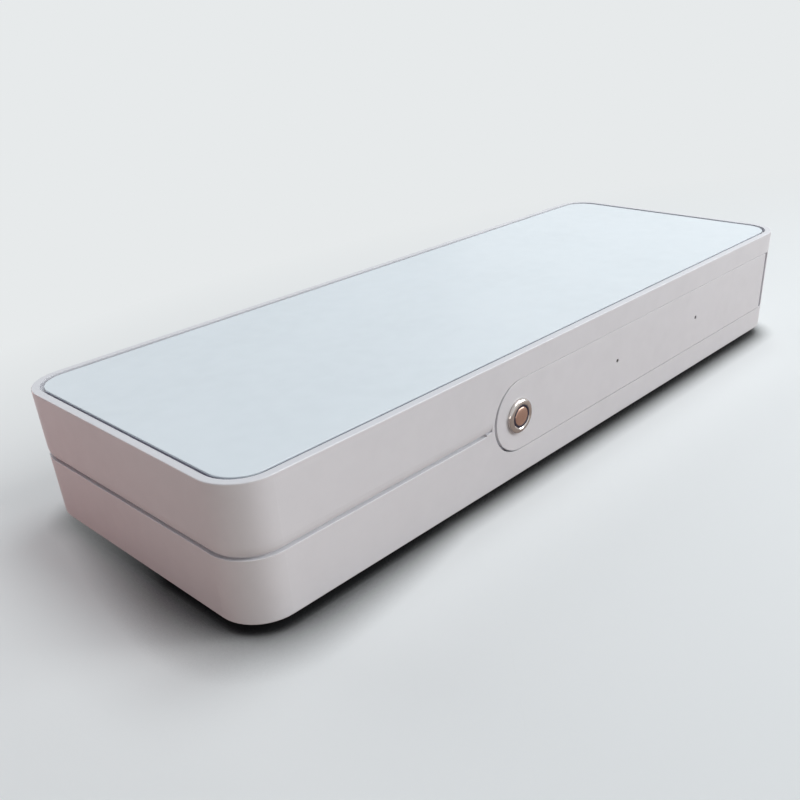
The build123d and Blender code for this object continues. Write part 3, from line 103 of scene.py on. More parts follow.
class Finish:
    """A procedural material. Its textures lie in the object's own coordinates, in metres."""

    def __init__(self, name, colour, metallic=0.0, specular=0.5, coat=0.0, coat_roughness=0.1):
        self.material = bpy.data.materials.new(name)
        self.material.use_nodes = True
        self.tree = self.material.node_tree
        self.tree.nodes.clear()
        self.shader = self.add("ShaderNodeBsdfPrincipled")
        self.output = self.add("ShaderNodeOutputMaterial")
        self.set_input(self.output, "Surface", self.shader.outputs["BSDF"])
        self.set_input(self.shader, "Metallic", metallic)
        self.set_input(self.shader, "Specular IOR Level", specular)
        self.set_input(self.shader, "Coat Weight", coat)
        self.set_input(self.shader, "Coat Roughness", coat_roughness)
        self.coordinates = self.add("ShaderNodeTexCoord").outputs["Object"]
        self.colour = linear(colour)
        self.colour_output = None
        self.normal_output = None

    def add(self, kind, **settings):
        """Adds a shader node."""
        node = self.tree.nodes.new(kind)
        for key, value in settings.items():
            setattr(node, key, value)
        return node

    def set_input(self, node, key, value):
        """Links an input to another node's output, or gives it a fixed value."""
        if isinstance(value, bpy.types.NodeSocket):
            self.tree.links.new(value, node.inputs[key])
        else:
            node.inputs[key].default_value = value

    def vector_math(self, operation, first, second=None, output="Vector"):
        """Works on two vectors, or on one."""
        node = self.add("ShaderNodeVectorMath", operation=operation)
        self.set_input(node, 0, first)
        if second is not None:
            self.set_input(node, 1, second)
        return node.outputs[output]

    def calculate(self, operation, first, second=0.0):
        """Works on two numbers."""
        node = self.add("ShaderNodeMath", operation=operation)
        self.set_input(node, 0, first)
        self.set_input(node, 1, second)
        return node.outputs["Value"]

    def spread(self, value, low, high, start=0.3, end=0.7):
        """Maps start..end, which is a pattern's usual range, to low..high."""
        node = self.add("ShaderNodeMapRange")
        self.set_input(node, "Value", value)
        self.set_input(node, "From Min", start)
        self.set_input(node, "From Max", end)
        self.set_input(node, "To Min", low)
        self.set_input(node, "To Max", high)
        return node.outputs["Result"]

    def split_coordinates(self):
        """The textures' coordinates as three numbers."""
        parts = self.add("ShaderNodeSeparateXYZ")
        self.set_input(parts, "Vector", self.coordinates)
        return parts.outputs

    def turn(self):
        """From here on the textures run round the object's own Z axis, as marks from a lathe do."""
        parts = self.split_coordinates()
        flat = self.add("ShaderNodeCombineXYZ")
        self.set_input(flat, "X", parts["X"])
        self.set_input(flat, "Y", parts["Y"])
        radius = self.vector_math("LENGTH", flat.outputs["Vector"], output="Value")
        turned = self.add("ShaderNodeCombineXYZ")
        self.set_input(turned, "X", radius)
        self.set_input(turned, "Z", parts["Z"])
        self.coordinates = turned.outputs["Vector"]

    def noise(self, size, detail=2.0, along=(1, 1, 1)):
        """Cloudy pattern with features of about that size, and stretched where along is under 1."""
        mapping = self.add("ShaderNodeMapping")
        self.set_input(mapping, "Vector", self.coordinates)
        self.set_input(mapping, "Scale", along)
        node = self.add("ShaderNodeTexNoise")
        self.set_input(node, "Vector", mapping.outputs["Vector"])
        self.set_input(node, "Scale", 1 / size)
        self.set_input(node, "Detail", detail)
        return node.outputs["Fac"]

    def distance_from(self, centre, scale=(1, 1, 1)):
        """Distance from a point, with each axis scaled."""
        offset = self.vector_math("SUBTRACT", self.coordinates, centre)
        return self.vector_math("LENGTH", self.vector_math("MULTIPLY", offset, scale), output="Value")

    def below(self, height, softness):
        """1 under a height and 0 over it, with a soft step."""
        return self.spread(self.split_coordinates()["Z"], 1, 0, height - softness, height + softness)

    def soft_normal(self, radius):
        """The surface's direction, with edges as if they were rounded to that radius."""
        node = self.add("ShaderNodeBevel", samples=6)
        self.set_input(node, "Radius", radius)
        return node.outputs["Normal"]

    def edges(self, radius):
        """1 on edges and corners within that radius, 0 on flat faces."""
        flat_normal = self.add("ShaderNodeNewGeometry").outputs["Normal"]
        product = self.vector_math("DOT_PRODUCT", self.soft_normal(radius), flat_normal, "Value")
        return self.spread(product, 1.0, 0.0, start=0.8, end=0.99)

    def tint(self, share, colour):
        """Mixes a screen colour into the base colour by a pattern."""
        node = self.add("ShaderNodeMix", data_type="RGBA")
        self.set_input(node, "Factor", share)
        first, second = (socket for socket in node.inputs if socket.type == "RGBA")
        if self.colour_output is None:
            first.default_value = (*self.colour, 1)
        else:
            self.tree.links.new(self.colour_output, first)
        second.default_value = (*linear(colour), 1)
        self.colour_output = next(socket for socket in node.outputs if socket.type == "RGBA")
        self.set_input(self.shader, "Base Color", self.colour_output)

    def bump(self, height, distance):
        """Adds a bump over the bumps that are there already."""
        if self.normal_output is None:
            self.normal_output = self.soft_normal(EDGE_SOFTNESS)
        node = self.add("ShaderNodeBump")
        self.set_input(node, "Strength", 1.0)
        self.set_input(node, "Distance", distance)
        self.set_input(node, "Height", height)
        self.set_input(node, "Normal", self.normal_output)
        self.normal_output = node.outputs["Normal"]
        self.set_input(self.shader, "Normal", self.normal_output)

    def roughness(self, pattern, low, high):
        """Lets the roughness follow a pattern."""
        self.set_input(self.shader, "Roughness", self.spread(pattern, low, high))


def clouded(colour, change):
    """The colour, a little lighter or darker."""
    return tuple(max(0, min(255, value + change)) for value in colour)


def painted(name, colour, rough, peel_size, peel_depth, gap_shade_colour=None):
    """Satin paint on metal: faint orange peel, cloudy tone, and thinner paint on the edges."""
    finish = Finish(name, colour, coat=PAINT_COAT, coat_roughness=PAINT_COAT_ROUGHNESS)
    clouds = finish.spread(finish.noise(PAINT_CLOUDS, 3), 0, 1)
    mottle = finish.spread(finish.noise(PAINT_MOTTLE, 2), 0, 0.5)
    thin_edges = finish.calculate("MULTIPLY", finish.edges(PAINT_EDGE), 0.3)
    finish.tint(clouds, clouded(colour, -4))
    finish.tint(mottle, clouded(colour, 3))
    finish.tint(thin_edges, clouded(colour, 22))
    # Painted shade: the top panel's edge turns dark below a height, which darkens the gap round it
    if gap_shade_colour:
        finish.tint(finish.below(PANEL_GAP_SHADE_TOP, PANEL_GAP_SHADE_SOFTNESS), gap_shade_colour)
    finish.roughness(finish.noise(PAINT_PATCHES, 4), *rough)
    finish.bump(finish.noise(peel_size, 0), peel_depth)
    return finish.material


def moulded(name, colour, rough=(0.45, 0.6), grain=0.4 * MM, depth=0.02 * MM, change=8, **gloss):
    """Moulded plastic or rubber: a fine grain, and a little paler on its edges."""
    finish = Finish(name, colour, **gloss)
    clouds = finish.spread(finish.noise(MOULD_CLOUDS, 3), 0, 1)
    pale_edges = finish.calculate("MULTIPLY", finish.edges(MOULD_EDGE), 0.4)
    finish.tint(clouds, clouded(colour, change))
    finish.tint(pale_edges, clouded(colour, 3 * change))
    finish.roughness(finish.noise(4 * grain, 3), *rough)
    finish.bump(finish.noise(grain, 2), depth)
    return finish.material


def metal(name, colour, rough, along=(1, 1, 1), depth=0.004 * MM, change=-12, turned=False):
    """Bare, plated or brushed metal: fine lines along one axis or round it, and a cloudy tone."""
    grain = 0.3 * MM
    finish = Finish(name, colour, metallic=1.0)
    if turned:
        finish.turn()
    clouds = finish.spread(finish.noise(METAL_CLOUDS, 4), 0, 1)
    lines = finish.spread(finish.noise(grain, 3, along), 0, 0.5)
    finish.tint(clouds, clouded(colour, change))
    finish.tint(lines, clouded(colour, 10))
    finish.roughness(finish.noise(2 * grain, 3, along), *rough)
    finish.bump(finish.noise(grain, 2, along), depth)
    return finish.material


def clear_glass(name):
    """Clear glass of the fuse, with a faint green tone and drawing lines along it."""
    finish = Finish(name, (236, 240, 238))
    finish.set_input(finish.shader, "Transmission Weight", 1.0)
    finish.set_input(finish.shader, "IOR", 1.5)
    finish.tint(finish.spread(finish.noise(2 * MM, 2), 0, 0.5), (214, 226, 222))
    finish.roughness(finish.noise(1 * MM, 2), 0.02, 0.06)
    finish.bump(finish.noise(0.5 * MM, 2, (0.1, 1, 1)), 0.004 * MM)
    return finish.material


def plain_name(material):
    """The name without the number that Blender adds to a second one."""
    return material.name.split(".")[0]


FINISHES = {
    plain_name(material): material
    for material in (
        painted("shell_paint", SHELL_PAINT, (0.36, 0.46), 1.6 * MM, 0.008 * MM),
        painted("plate_paint", PLATE_PAINT, (0.34, 0.44), 1.6 * MM, 0.008 * MM),
        # The top panel takes painted shade on its edge, in the gap round it
        painted("panel_lacquer", PANEL_LACQUER, (0.34, 0.42), 6.0 * MM, 0.006 * MM, PANEL_GAP_SHADE),
        metal("polished_steel", STEEL, (0.08, 0.16), depth=0.001 * MM),
        moulded("ring_plastic", (24, 20, 46), (0.3, 0.4), change=4),
        moulded("indicator_plastic", (34, 34, 38), (0.1, 0.18), coat=0.4),
        moulded("lamp_plastic", (205, 212, 225), (0.15, 0.25)),
        moulded("black_plastic", (30, 30, 31)),
        moulded("black_rubber", (26, 26, 27), (0.7, 0.85), 0.6 * MM, 0.05 * MM, specular=0.3),
        metal("foot_aluminium", ALUMINIUM, (0.28, 0.4)),
        metal("plated_steel", (170, 170, 172), (0.28, 0.38)),
        metal("socket_steel", (196, 196, 198), (0.14, 0.26), (1, 0.1, 1)),
        metal("can_steel", (190, 190, 192), (0.16, 0.27), (0.1, 1, 1)),
        metal("contact_brass", BRASS, (0.12, 0.24)),
        moulded("tongue_plastic", (222, 221, 214)),
        moulded("bonding_tape", (66, 66, 68), (0.6, 0.75)),
        moulded("board_laminate", (24, 84, 52), (0.28, 0.42), 0.9 * MM, 0.03 * MM),
        moulded("chip_plastic", (30, 30, 32)),
        moulded("capacitor_sleeve", (28, 32, 58), (0.15, 0.27)),
        moulded("terminal_plastic", (48, 128, 72)),
        metal("black_aluminium", (48, 48, 50), (0.35, 0.5), (1, 1, 0.1), change=8),
        moulded("winding_tape", (206, 172, 58), (0.28, 0.42), 0.8 * MM, 0.03 * MM),
        metal("core_iron", (120, 120, 124), (0.4, 0.6), (1, 1, 6)),
        moulded("mains_insulation", (96, 56, 30), (0.3, 0.45)),
        moulded("earth_insulation", (96, 140, 40), (0.3, 0.45)),
        moulded("winding_insulation", (150, 38, 30), (0.3, 0.45)),
        moulded("signal_insulation", (150, 150, 156), (0.3, 0.45)),
        clear_glass("fuse_glass"),
    )
}

# Finishes of round pieces, whose marks run round each piece's own axis
TURNED = {
    "bezel": metal("turned_bezel", BEZEL_STEEL, (0.12, 0.2), depth=0.0015 * MM, turned=True),
    # The cap's warm tint is a painted reflection
    "cap": metal("turned_cap", CAP_STEEL_PAINTED_REFLECTION, (0.17, 0.26), depth=0.002 * MM, turned=True),
    "foot": metal("turned_foot", ALUMINIUM, (0.28, 0.38), turned=True),
    "brass": metal("turned_brass", BRASS, (0.12, 0.24), depth=0.002 * MM, turned=True),
    "screw": metal("turned_screw", SCREW_STEEL, (0.28, 0.36), depth=0.003 * MM, turned=True),
}

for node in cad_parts.values():
    for slot in node.material_slots:
        slot.material = FINISHES[plain_name(slot.material)]

# Meshes. Their own sizes are in millimetres. A rounded corner takes up to CORNER_SHARE of each side.
ROUND = 72
FINE_ROUND = 96
COARSE_ROUND = 48
SHARP_ANGLE = pi / 6
CORNER_SHARE = 0.45
BAR_EDGE_STEPS = 3
WIRE_SIDES = 12
COIL_STEPS = 32


def corners_of(node):
    """The low and high corner of a CAD node's box, in millimetres."""
    low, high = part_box(node)
    return low / MM, high / MM


def middle(node):
    """The middle of a CAD node's box, in millimetres."""
    low, high = corners_of(node)
    return (low + high) / 2


def place_piece(name, mesh, slot, replaced, place, outward=UP, finish=None, body="enclosure"):
    """Adds a mesh whose own Z axis points outward from the place. Without a finish, it has its slot's."""
    bmesh.ops.recalc_face_normals(mesh, faces=mesh.faces)
    data = bpy.data.meshes.new(name)
    mesh.to_mesh(data)
    mesh.free()
    data.shade_smooth()
    data.set_sharp_from_angle(angle=SHARP_ANGLE)
    data.materials.append(finish or FINISHES[slot])
    piece = bpy.data.objects.new(name, data)
    rotation = Vector(outward).to_track_quat("Z", "Y").to_matrix().to_4x4()
    piece.matrix_world = Matrix.Translation(Vector(place) * MM) @ rotation
    bpy.context.scene.collection.objects.link(piece)
    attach(piece, body)
    if replaced:
        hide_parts(replaced)
    return piece


def softened(points, radius, steps=4):
    """The outline with each corner between its ends rounded to about that radius."""
    outline = [Vector(points[0])]
    for before, corner, after in zip(points, points[1:], points[2:]):
        corner = Vector(corner)
        back = Vector(before) - corner
        ahead = Vector(after) - corner
        reach = min(radius, CORNER_SHARE * back.length, CORNER_SHARE * ahead.length)
        start = corner + reach * back.normalized()
        end = corner + reach * ahead.normalized()
        for step in range(steps + 1):
            share = step / steps
            outline.append(start.lerp(corner, share).lerp(corner.lerp(end, share), share))
    outline.append(Vector(points[-1]))
    return outline


def even(angle):
    """A round section."""
    return 1.0


def six_sided(angle):
    """A hexagon's radius as a share of its corners' radius."""
    return cos(pi / 6) / cos(angle % (pi / 3) - pi / 6)


def cross_shaped(angle):
    """A cross recess: four narrow wings with rounded ends."""
    return 0.3 + 0.7 * abs(cos(2 * angle)) ** 6


def turned_mesh(profile, closed=False, steps=ROUND):
    """Turns a profile of (radius, height) or (radius, height, section) points round the Z axis."""
    mesh = bmesh.new()
    rings = []
    for radius, height, *section in profile:
        shape = section[0] if section else even
        if radius == 0:
            rings.append([mesh.verts.new((0, 0, height * MM))])
            continue
        ring = []
        for step in range(steps):
            angle = 2 * pi * step / steps
            reach = radius * shape(angle) * MM
            ring.append(mesh.verts.new((reach * cos(angle), reach * sin(angle), height * MM)))
        rings.append(ring)
    following = rings[1:] + rings[:1] if closed else rings[1:]
    for ring, next_ring in zip(rings, following):
        for step in range(steps):
            ahead = (step + 1) % steps
            corners = [
                ring[step % len(ring)],
                ring[ahead % len(ring)],
                next_ring[ahead % len(next_ring)],
                next_ring[step % len(next_ring)],
            ]
            corners = list(dict.fromkeys(corners))
            if len(corners) > 2:
                mesh.faces.new(corners)
    return mesh


def bar_mesh(size, softness):
    """A bar with rounded edges, centred on its origin."""
    mesh = bmesh.new()
    bmesh.ops.create_cube(mesh, size=1)
    bmesh.ops.scale(mesh, vec=Vector(size) * MM, verts=mesh.verts)
    bmesh.ops.bevel(
        mesh,
        geom=mesh.edges[:],
        offset=softness * MM,
        segments=BAR_EDGE_STEPS,
        affect="EDGES",
        profile=0.5,
    )
    return mesh


def coil_mesh(radius, wire, turns, length):
    """A round wire wound into a coil along its own Z axis, with flat ends."""
    mesh = bmesh.new()
    rings = []
    steps = turns * COIL_STEPS
    for step in range(steps + 1):
        angle = 2 * pi * step / COIL_STEPS
        ring = []
        for side in range(WIRE_SIDES):
            around = 2 * pi * side / WIRE_SIDES
            reach = radius + wire * cos(around)
            height = length * step / steps + wire * sin(around)
            ring.append(mesh.verts.new(Vector((reach * cos(angle), reach * sin(angle), height)) * MM))
        rings.append(ring)
    for ring, next_ring in zip(rings, rings[1:]):
        for side in range(WIRE_SIDES):
            ahead = (side + 1) % WIRE_SIDES
            mesh.faces.new((ring[side], ring[ahead], next_ring[ahead], next_ring[side]))
    mesh.faces.new(rings[0])
    mesh.faces.new(rings[-1])
    return mesh


# Places that several pieces share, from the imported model
front_y = corners_of("front_plate")[0].y
line_z = middle("front_plate").z
rear_face_y = corners_of("rear_panel")[1].y
rear_z = middle("rear_panel").z
middle_y = middle("lower_shell").y
underside_z = corners_of("lower_shell")[0].z

# Push button. Heights are from the front plate's face, outward.
BEZEL_RADIUS = 8.8
BEZEL_HEIGHT = 2.0
BEZEL_SIDE = 0.7
LAND_RADIUS = 6.45
BARREL_RADIUS = 7.9
BARREL_BORE = 6.2
BARREL_END = -22.0
THREAD_DEPTH = 0.4
THREAD_PITCH = 1.0
THREAD_START = 0.6
RING_SEAT = 5.9
RING_INNER = 4.88
RING_OUTER = 5.86
RING_TOP = BEZEL_HEIGHT - 0.35
RING_END = -7.0
CAP_RADIUS = 4.78
CAP_BACK = -5.75
STEM_RADIUS = 2.5
STEM_END = -16.75
DOME_STEPS = 10

switch_place = (middle("switch_button").x, front_y, line_z)


def bezel():
    """Domed bezel and its threaded barrel, in one piece."""
    profile = [(RING_SEAT, RING_END), (RING_SEAT, RING_TOP)]
    for step in range(DOME_STEPS + 1):
        angle = pi / 2 * step / DOME_STEPS
        radius = LAND_RADIUS + (BEZEL_RADIUS - LAND_RADIUS) * sin(angle)
        profile.append((radius, BEZEL_SIDE + (BEZEL_HEIGHT - BEZEL_SIDE) * cos(angle)))
    profile += [(BEZEL_RADIUS, 0.0), (BARREL_RADIUS, 0.0)]
    for thread in range(int(-BARREL_END / THREAD_PITCH) - 1):
        crest = -THREAD_PITCH * (thread + THREAD_START)
        profile += [(BARREL_RADIUS, crest), (BARREL_RADIUS - THREAD_DEPTH, crest - THREAD_PITCH / 2)]
    profile += [(BARREL_RADIUS, BARREL_END), (BARREL_BORE, BARREL_END), (BARREL_BORE, RING_END)]
    mesh = turned_mesh(profile, closed=True, steps=FINE_ROUND)
    place_piece("bezel", mesh, "polished_steel", "switch_body", switch_place, FRONT, TURNED["bezel"])


def light_ring():
    """Dark ring between the bezel and the cap."""
    outline = [(RING_INNER, RING_END), (RING_INNER, RING_TOP), (RING_OUTER, RING_TOP), (RING_OUTER, RING_END)]
    mesh = turned_mesh(softened(outline, 0.2), closed=True, steps=FINE_ROUND)
    place_piece("light_ring", mesh, "ring_plastic", "switch_light_ring", switch_place, FRONT)


def button_cap():
    """Crowned cap and its stem, which are what a finger pushes in."""
    crown = [(0, 2.25), (1.2, 2.24), (2.4, 2.19), (3.3, 2.1), (3.9, 2.0)]
    rim = softened([(4.1, 1.95), (CAP_RADIUS, 1.75), (CAP_RADIUS, 0.8)], 0.5, 6)
    stem = [(CAP_RADIUS, CAP_BACK), (STEM_RADIUS, CAP_BACK), (STEM_RADIUS, STEM_END), (0, STEM_END)]
    place_piece(
        "button_cap",
        turned_mesh(crown + rim + stem, steps=FINE_ROUND),
        "polished_steel",
        "switch_button",
        switch_place,
        FRONT,
        TURNED["cap"],
        "power_button",
    )


bezel()
light_ring()
button_cap()

# Return spring of the push button
SPRING_WIRE = 0.25
SPRING_RADIUS = 3.7
SPRING_TURNS = 5


def return_spring():
    """Coil behind the cap, which shortens as the button goes in."""
    front, back = (corner.y for corner in corners_of("switch_spring"))
    length = back - front
    mesh = coil_mesh(SPRING_RADIUS, SPRING_WIRE, SPRING_TURNS, length - 2 * SPRING_WIRE)
    place = (switch_place[0], front + SPRING_WIRE, line_z)
    piece = place_piece("return_spring", mesh, "plated_steel", "switch_spring", place, REAR)
    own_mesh(piece)


return_spring()

# Indicator lenses: small, dark and a little sunk. Both stand for one CAD node.
LENS_RADIUS = 1.05
LENS_FLANGE = 2.0
LENS_FLANGE_FRONT = -3.2
LENS_BACK = -4.2


def indicator_lens(side, x):
    """One lens, with a flange behind the front plate."""
    profile = [(0, -0.12), (0.45, -0.14), (0.8, -0.22), (1.0, -0.38), (LENS_RADIUS, -0.6)]
    profile += [(LENS_RADIUS, LENS_FLANGE_FRONT), (LENS_FLANGE, LENS_FLANGE_FRONT)]
    profile += [(LENS_FLANGE, LENS_BACK), (0, LENS_BACK)]
    mesh = turned_mesh(profile, steps=COARSE_ROUND)
    place = (x, front_y, line_z)
    place_piece("indicator_lens_" + side, mesh, "indicator_plastic", "indicator_lenses", place, FRONT)


lens_low, lens_high = corners_of("indicator_lenses")
indicator_lens("left", lens_low.x + LENS_FLANGE)
indicator_lens("right", lens_high.x - LENS_FLANGE)

# Screws. Heights are from the place, outward.
SUNK_HEAD_RADIUS = 2.8
SUNK_HEAD_DEPTH = 1.4
SUNK_SHANK_RADIUS = 1.5
SUNK_DRIVE_DEPTH = 1.15
SOCKET_HEAD_RADIUS = 3.8
SOCKET_HEAD_HEIGHT = 2.6
SOCKET_SHANK_RADIUS = 2.0
SOCKET_DRIVE_RADIUS = 1.73


def sunk_screw(name, replaced, place, outward, length, drive, drive_radius):
    """A countersunk M3 screw, flush with the place."""
    profile = [
        (0, -SUNK_DRIVE_DEPTH),
        (drive_radius * 0.7, -SUNK_DRIVE_DEPTH, drive),
        (drive_radius, -0.95, drive),
        (drive_radius, -0.12, drive),
        (drive_radius + 0.12, -0.02, drive),
        (2.35, -0.02),
        (2.65, -0.06),
        (SUNK_HEAD_RADIUS, -0.2),
        (SUNK_SHANK_RADIUS, -SUNK_HEAD_DEPTH),
        (SUNK_SHANK_RADIUS, -length),
        (0, -length),
    ]
    mesh = turned_mesh(profile, steps=COARSE_ROUND)
    place_piece(name, mesh, "plated_steel", replaced, place, outward, TURNED["screw"])


def socket_screw(name, replaced, place, outward, length):
    """A cylinder-head M4 screw with a hexagon socket. The place is under its head."""
    profile = [
        (0, 0.9),
        (1.5, 0.9, six_sided),
        (SOCKET_DRIVE_RADIUS, 1.1, six_sided),
        (SOCKET_DRIVE_RADIUS, 2.45, six_sided),
        (1.9, SOCKET_HEAD_HEIGHT, six_sided),
        (3.3, SOCKET_HEAD_HEIGHT),
        (3.62, 2.52),
        (SOCKET_HEAD_RADIUS, 2.25),
        (SOCKET_HEAD_RADIUS, 0.12),
        (3.7, 0),
        (SOCKET_SHANK_RADIUS, 0),
        (SOCKET_SHANK_RADIUS, -length),
        (0, -length),
    ]
    mesh = turned_mesh(profile, steps=COARSE_ROUND)
    place_piece(name, mesh, "plated_steel", replaced, place, outward, TURNED["screw"])


# Screws of the rear panel
REAR_SCREW_XS = (-199.0, 0.0, 199.0)
REAR_SCREW_RISE = 22.0
REAR_SCREW_LENGTH = 6.0
REAR_SCREW_DRIVE = 1.15
for column, x in enumerate(REAR_SCREW_XS):
    for row, z in enumerate((rear_z - REAR_SCREW_RISE, rear_z + REAR_SCREW_RISE)):
        name = f"rear_screw_{column}_{row}"
        place = (x, rear_face_y, z)
        sunk_screw(name, "rear_panel_screws", place, REAR, REAR_SCREW_LENGTH, six_sided, REAR_SCREW_DRIVE)

# Screws of the mains inlet
INLET_SCREW_REACH = 20.0
INLET_SCREW_LENGTH = 8.4
INLET_SCREW_DRIVE = 1.7
inlet_x = middle("mains_inlet").x
inlet_face_y = corners_of("mains_inlet")[1].y
for side, x in (("left", inlet_x - INLET_SCREW_REACH), ("right", inlet_x + INLET_SCREW_REACH)):
    name = "inlet_screw_" + side
    place = (x, inlet_face_y, rear_z)
    sunk_screw(name, "inlet_screws", place, REAR, INLET_SCREW_LENGTH, cross_shaped, INLET_SCREW_DRIVE)

# Screws that hold the two shells together, in recesses in the underside. Places are from its middle.
SHELL_SCREW_SEAT_Z = 9.2
SHELL_SCREW_LENGTH = 42.5
SHELL_SCREW_X = 212.0
SHELL_SCREW_Y = 71.5
SHELL_SCREWS = (
    (-SHELL_SCREW_X, -SHELL_SCREW_Y),
    (-SHELL_SCREW_X, SHELL_SCREW_Y),
    (SHELL_SCREW_X, -SHELL_SCREW_Y),
    (SHELL_SCREW_X, SHELL_SCREW_Y),
    (-100.0, -SHELL_SCREW_Y),
    (-20.0, SHELL_SCREW_Y),
)
for number, (x, y) in enumerate(SHELL_SCREWS):
    place = (x, middle_y + y, SHELL_SCREW_SEAT_Z)
    socket_screw(f"shell_screw_{number}", "shell_screws", place, DOWN, SHELL_SCREW_LENGTH)

# Feet: turned discs with a groove, and ribbed rubber pads. Heights are from the underside, down.
FOOT_X = 183.0
FOOT_Y = 46.5
FOOT_RADIUS = 16.0
FOOT_GROOVE_RADIUS = 15.5
FOOT_HEIGHT = 4.4
FOOT_BORE = 2.2
FOOT_SCREW_SEAT = 4.1
PAD_SEAT = 3.2
PAD_SEAT_RADIUS = 12.7
PAD_RADIUS = 12.5
PAD_HEIGHT = 6.0
PAD_GROOVE_HEIGHT = 5.55
RIB_COUNT = 4
RIB_PITCH = 2.4
FIRST_RIB_RADIUS = 11.2


def foot(name, place):
    """The turned disc, with a bore for its screw."""
    profile = [(FOOT_BORE, 0)]
    profile += softened([(15.6, 0), (FOOT_RADIUS, 0.4), (FOOT_RADIUS, 1.7)], 0.2)
    groove = [(FOOT_GROOVE_RADIUS, 1.8), (FOOT_GROOVE_RADIUS, 2.5), (FOOT_RADIUS, 2.7)]
    profile += softened(groove + [(FOOT_RADIUS, FOOT_HEIGHT), (PAD_SEAT_RADIUS, FOOT_HEIGHT)], 0.5)
    profile += [(PAD_SEAT_RADIUS, PAD_SEAT), (FOOT_SCREW_SEAT, PAD_SEAT), (FOOT_BORE, 1.4)]
    mesh = turned_mesh(profile, closed=True, steps=FINE_ROUND)
    place_piece("foot_" + name, mesh, "foot_aluminium", "feet", place, DOWN, TURNED["foot"])


def pad(name, place):
    """The rubber pad, which the object stands on."""
    profile = [(0, PAD_SEAT), (PAD_RADIUS, PAD_SEAT), (PAD_RADIUS, 5.6)]
    profile += [(12.1, PAD_HEIGHT), (11.4, PAD_HEIGHT)]
    for rib in range(RIB_COUNT):
        outer = FIRST_RIB_RADIUS - RIB_PITCH * rib
        profile += [(outer, PAD_GROOVE_HEIGHT), (outer - 0.9, PAD_GROOVE_HEIGHT)]
        profile += [(outer - 1.1, PAD_HEIGHT), (outer - 2.2, PAD_HEIGHT)]
    profile += [(0, PAD_HEIGHT)]
    mesh = turned_mesh(profile, steps=FINE_ROUND)
    place_piece("pad_" + name, mesh, "black_rubber", "foot_pads", place, DOWN)


for name, x, y in (
    ("front_left", -FOOT_X, -FOOT_Y),
    ("front_right", FOOT_X, -FOOT_Y),
    ("rear_left", -FOOT_X, FOOT_Y),
    ("rear_right", FOOT_X, FOOT_Y),
):
    place = (x, middle_y + y, underside_z)
    foot(name, place)
    pad(name, place)

# Coaxial jacks. Heights are from the rear panel's face, outward.
JACK_RADIUS = 4.15
JACK_FLANGE = 6.0
JACK_BARREL = 4.4
JACK_BACK = -10.0
INSULATOR_RADIUS = 3.3
CONTACT_RADIUS = 1.9
CONTACT_TAIL = 0.8
CONTACT_TAIL_END = -15.0


def coax_jack(name, place):
    """Metal shell with a flange, insulator, and hollow centre contact."""
    jack = [(INSULATOR_RADIUS, JACK_BACK)]
    front = [(INSULATOR_RADIUS, 8.6), (3.6, 9.0), (JACK_RADIUS, 9.0), (JACK_RADIUS, 2.2), (4.35, 1.5)]
    jack += softened(front + [(JACK_FLANGE, 1.5), (JACK_FLANGE, 0)], 0.3)
    jack += [(JACK_BARREL, 0), (JACK_BARREL, JACK_BACK)]
    insulator = [(CONTACT_RADIUS, JACK_BACK), (CONTACT_RADIUS, 8.3), (2.2, 8.6), (3.0, 8.6)]
    insulator += [(INSULATOR_RADIUS, 8.3), (INSULATOR_RADIUS, JACK_BACK)]
    contact = [(0, 0), (1.6, 0), (1.6, 8.5), (1.75, 8.75), (CONTACT_RADIUS, 8.5)]
    contact += [(CONTACT_RADIUS, JACK_BACK), (CONTACT_TAIL, JACK_BACK)]
    contact += [(CONTACT_TAIL, CONTACT_TAIL_END), (0, CONTACT_TAIL_END)]
    brass = TURNED["brass"]
    jack_mesh = turned_mesh(jack, closed=True)
    insulator_mesh = turned_mesh(insulator, closed=True)
    contact_mesh = turned_mesh(contact)
    place_piece(f"coax_{name}_jack", jack_mesh, "contact_brass", "coax_jacks", place, REAR, brass)
    place_piece(f"coax_{name}_insulator", insulator_mesh, "tongue_plastic", "coax_insulators", place, REAR)
    place_piece(f"coax_{name}_contact", contact_mesh, "contact_brass", "coax_contacts", place, REAR, brass)


coax_low, coax_high = corners_of("coax_contacts")
coax_jack("input", (coax_low.x + CONTACT_RADIUS, rear_face_y, rear_z))
coax_jack("output", (coax_high.x - CONTACT_RADIUS, rear_face_y, rear_z))

# Contacts on the tongues of the USB sockets
USB_CONTACT_FRONT_Y = 78.2
USB_CONTACT_THICKNESS = 0.16
USB_CONTACT_SOFTNESS = 0.05


def usb_contacts(name, socket, z, count, pitch, width, length):
    """A row of contact bars, centred on a socket's shell."""
    for number in range(count):
        x = middle(socket).x + pitch * (number - (count - 1) / 2)
        mesh = bar_mesh((width, length, USB_CONTACT_THICKNESS), USB_CONTACT_SOFTNESS)
        place = (x, USB_CONTACT_FRONT_Y - length / 2, z)
        place_piece(f"{name}_contact_{number}", mesh, "contact_brass", None, place)


usb_contacts("usb_input_upper", "usb_input_shell", z=26.7, count=2, pitch=2.6, width=1.1, length=7.4)
usb_contacts("usb_input_lower", "usb_input_shell", z=23.5, count=2, pitch=2.6, width=1.1, length=7.4)
usb_contacts("usb_output", "usb_output_shell", z=22.5, count=4, pitch=2.4, width=1.2, length=7.6)

# Pins of the mains inlet, with rounded tips, and the flat tabs behind them
PIN_PITCH = 7.0
PIN_WIDTH = 2.0
PIN_HEIGHT = 4.0
PIN_SOFTNESS = 0.6
TAB_SIZE = (0.8, 8.0, 6.3)
TAB_SOFTNESS = 0.2
LINE_PIN_Z = 41.6
EARTH_PIN_Z = 45.6
pin_front_y = corners_of("inlet_pins")[1].y
pin_back_y = corners_of("mains_inlet")[0].y


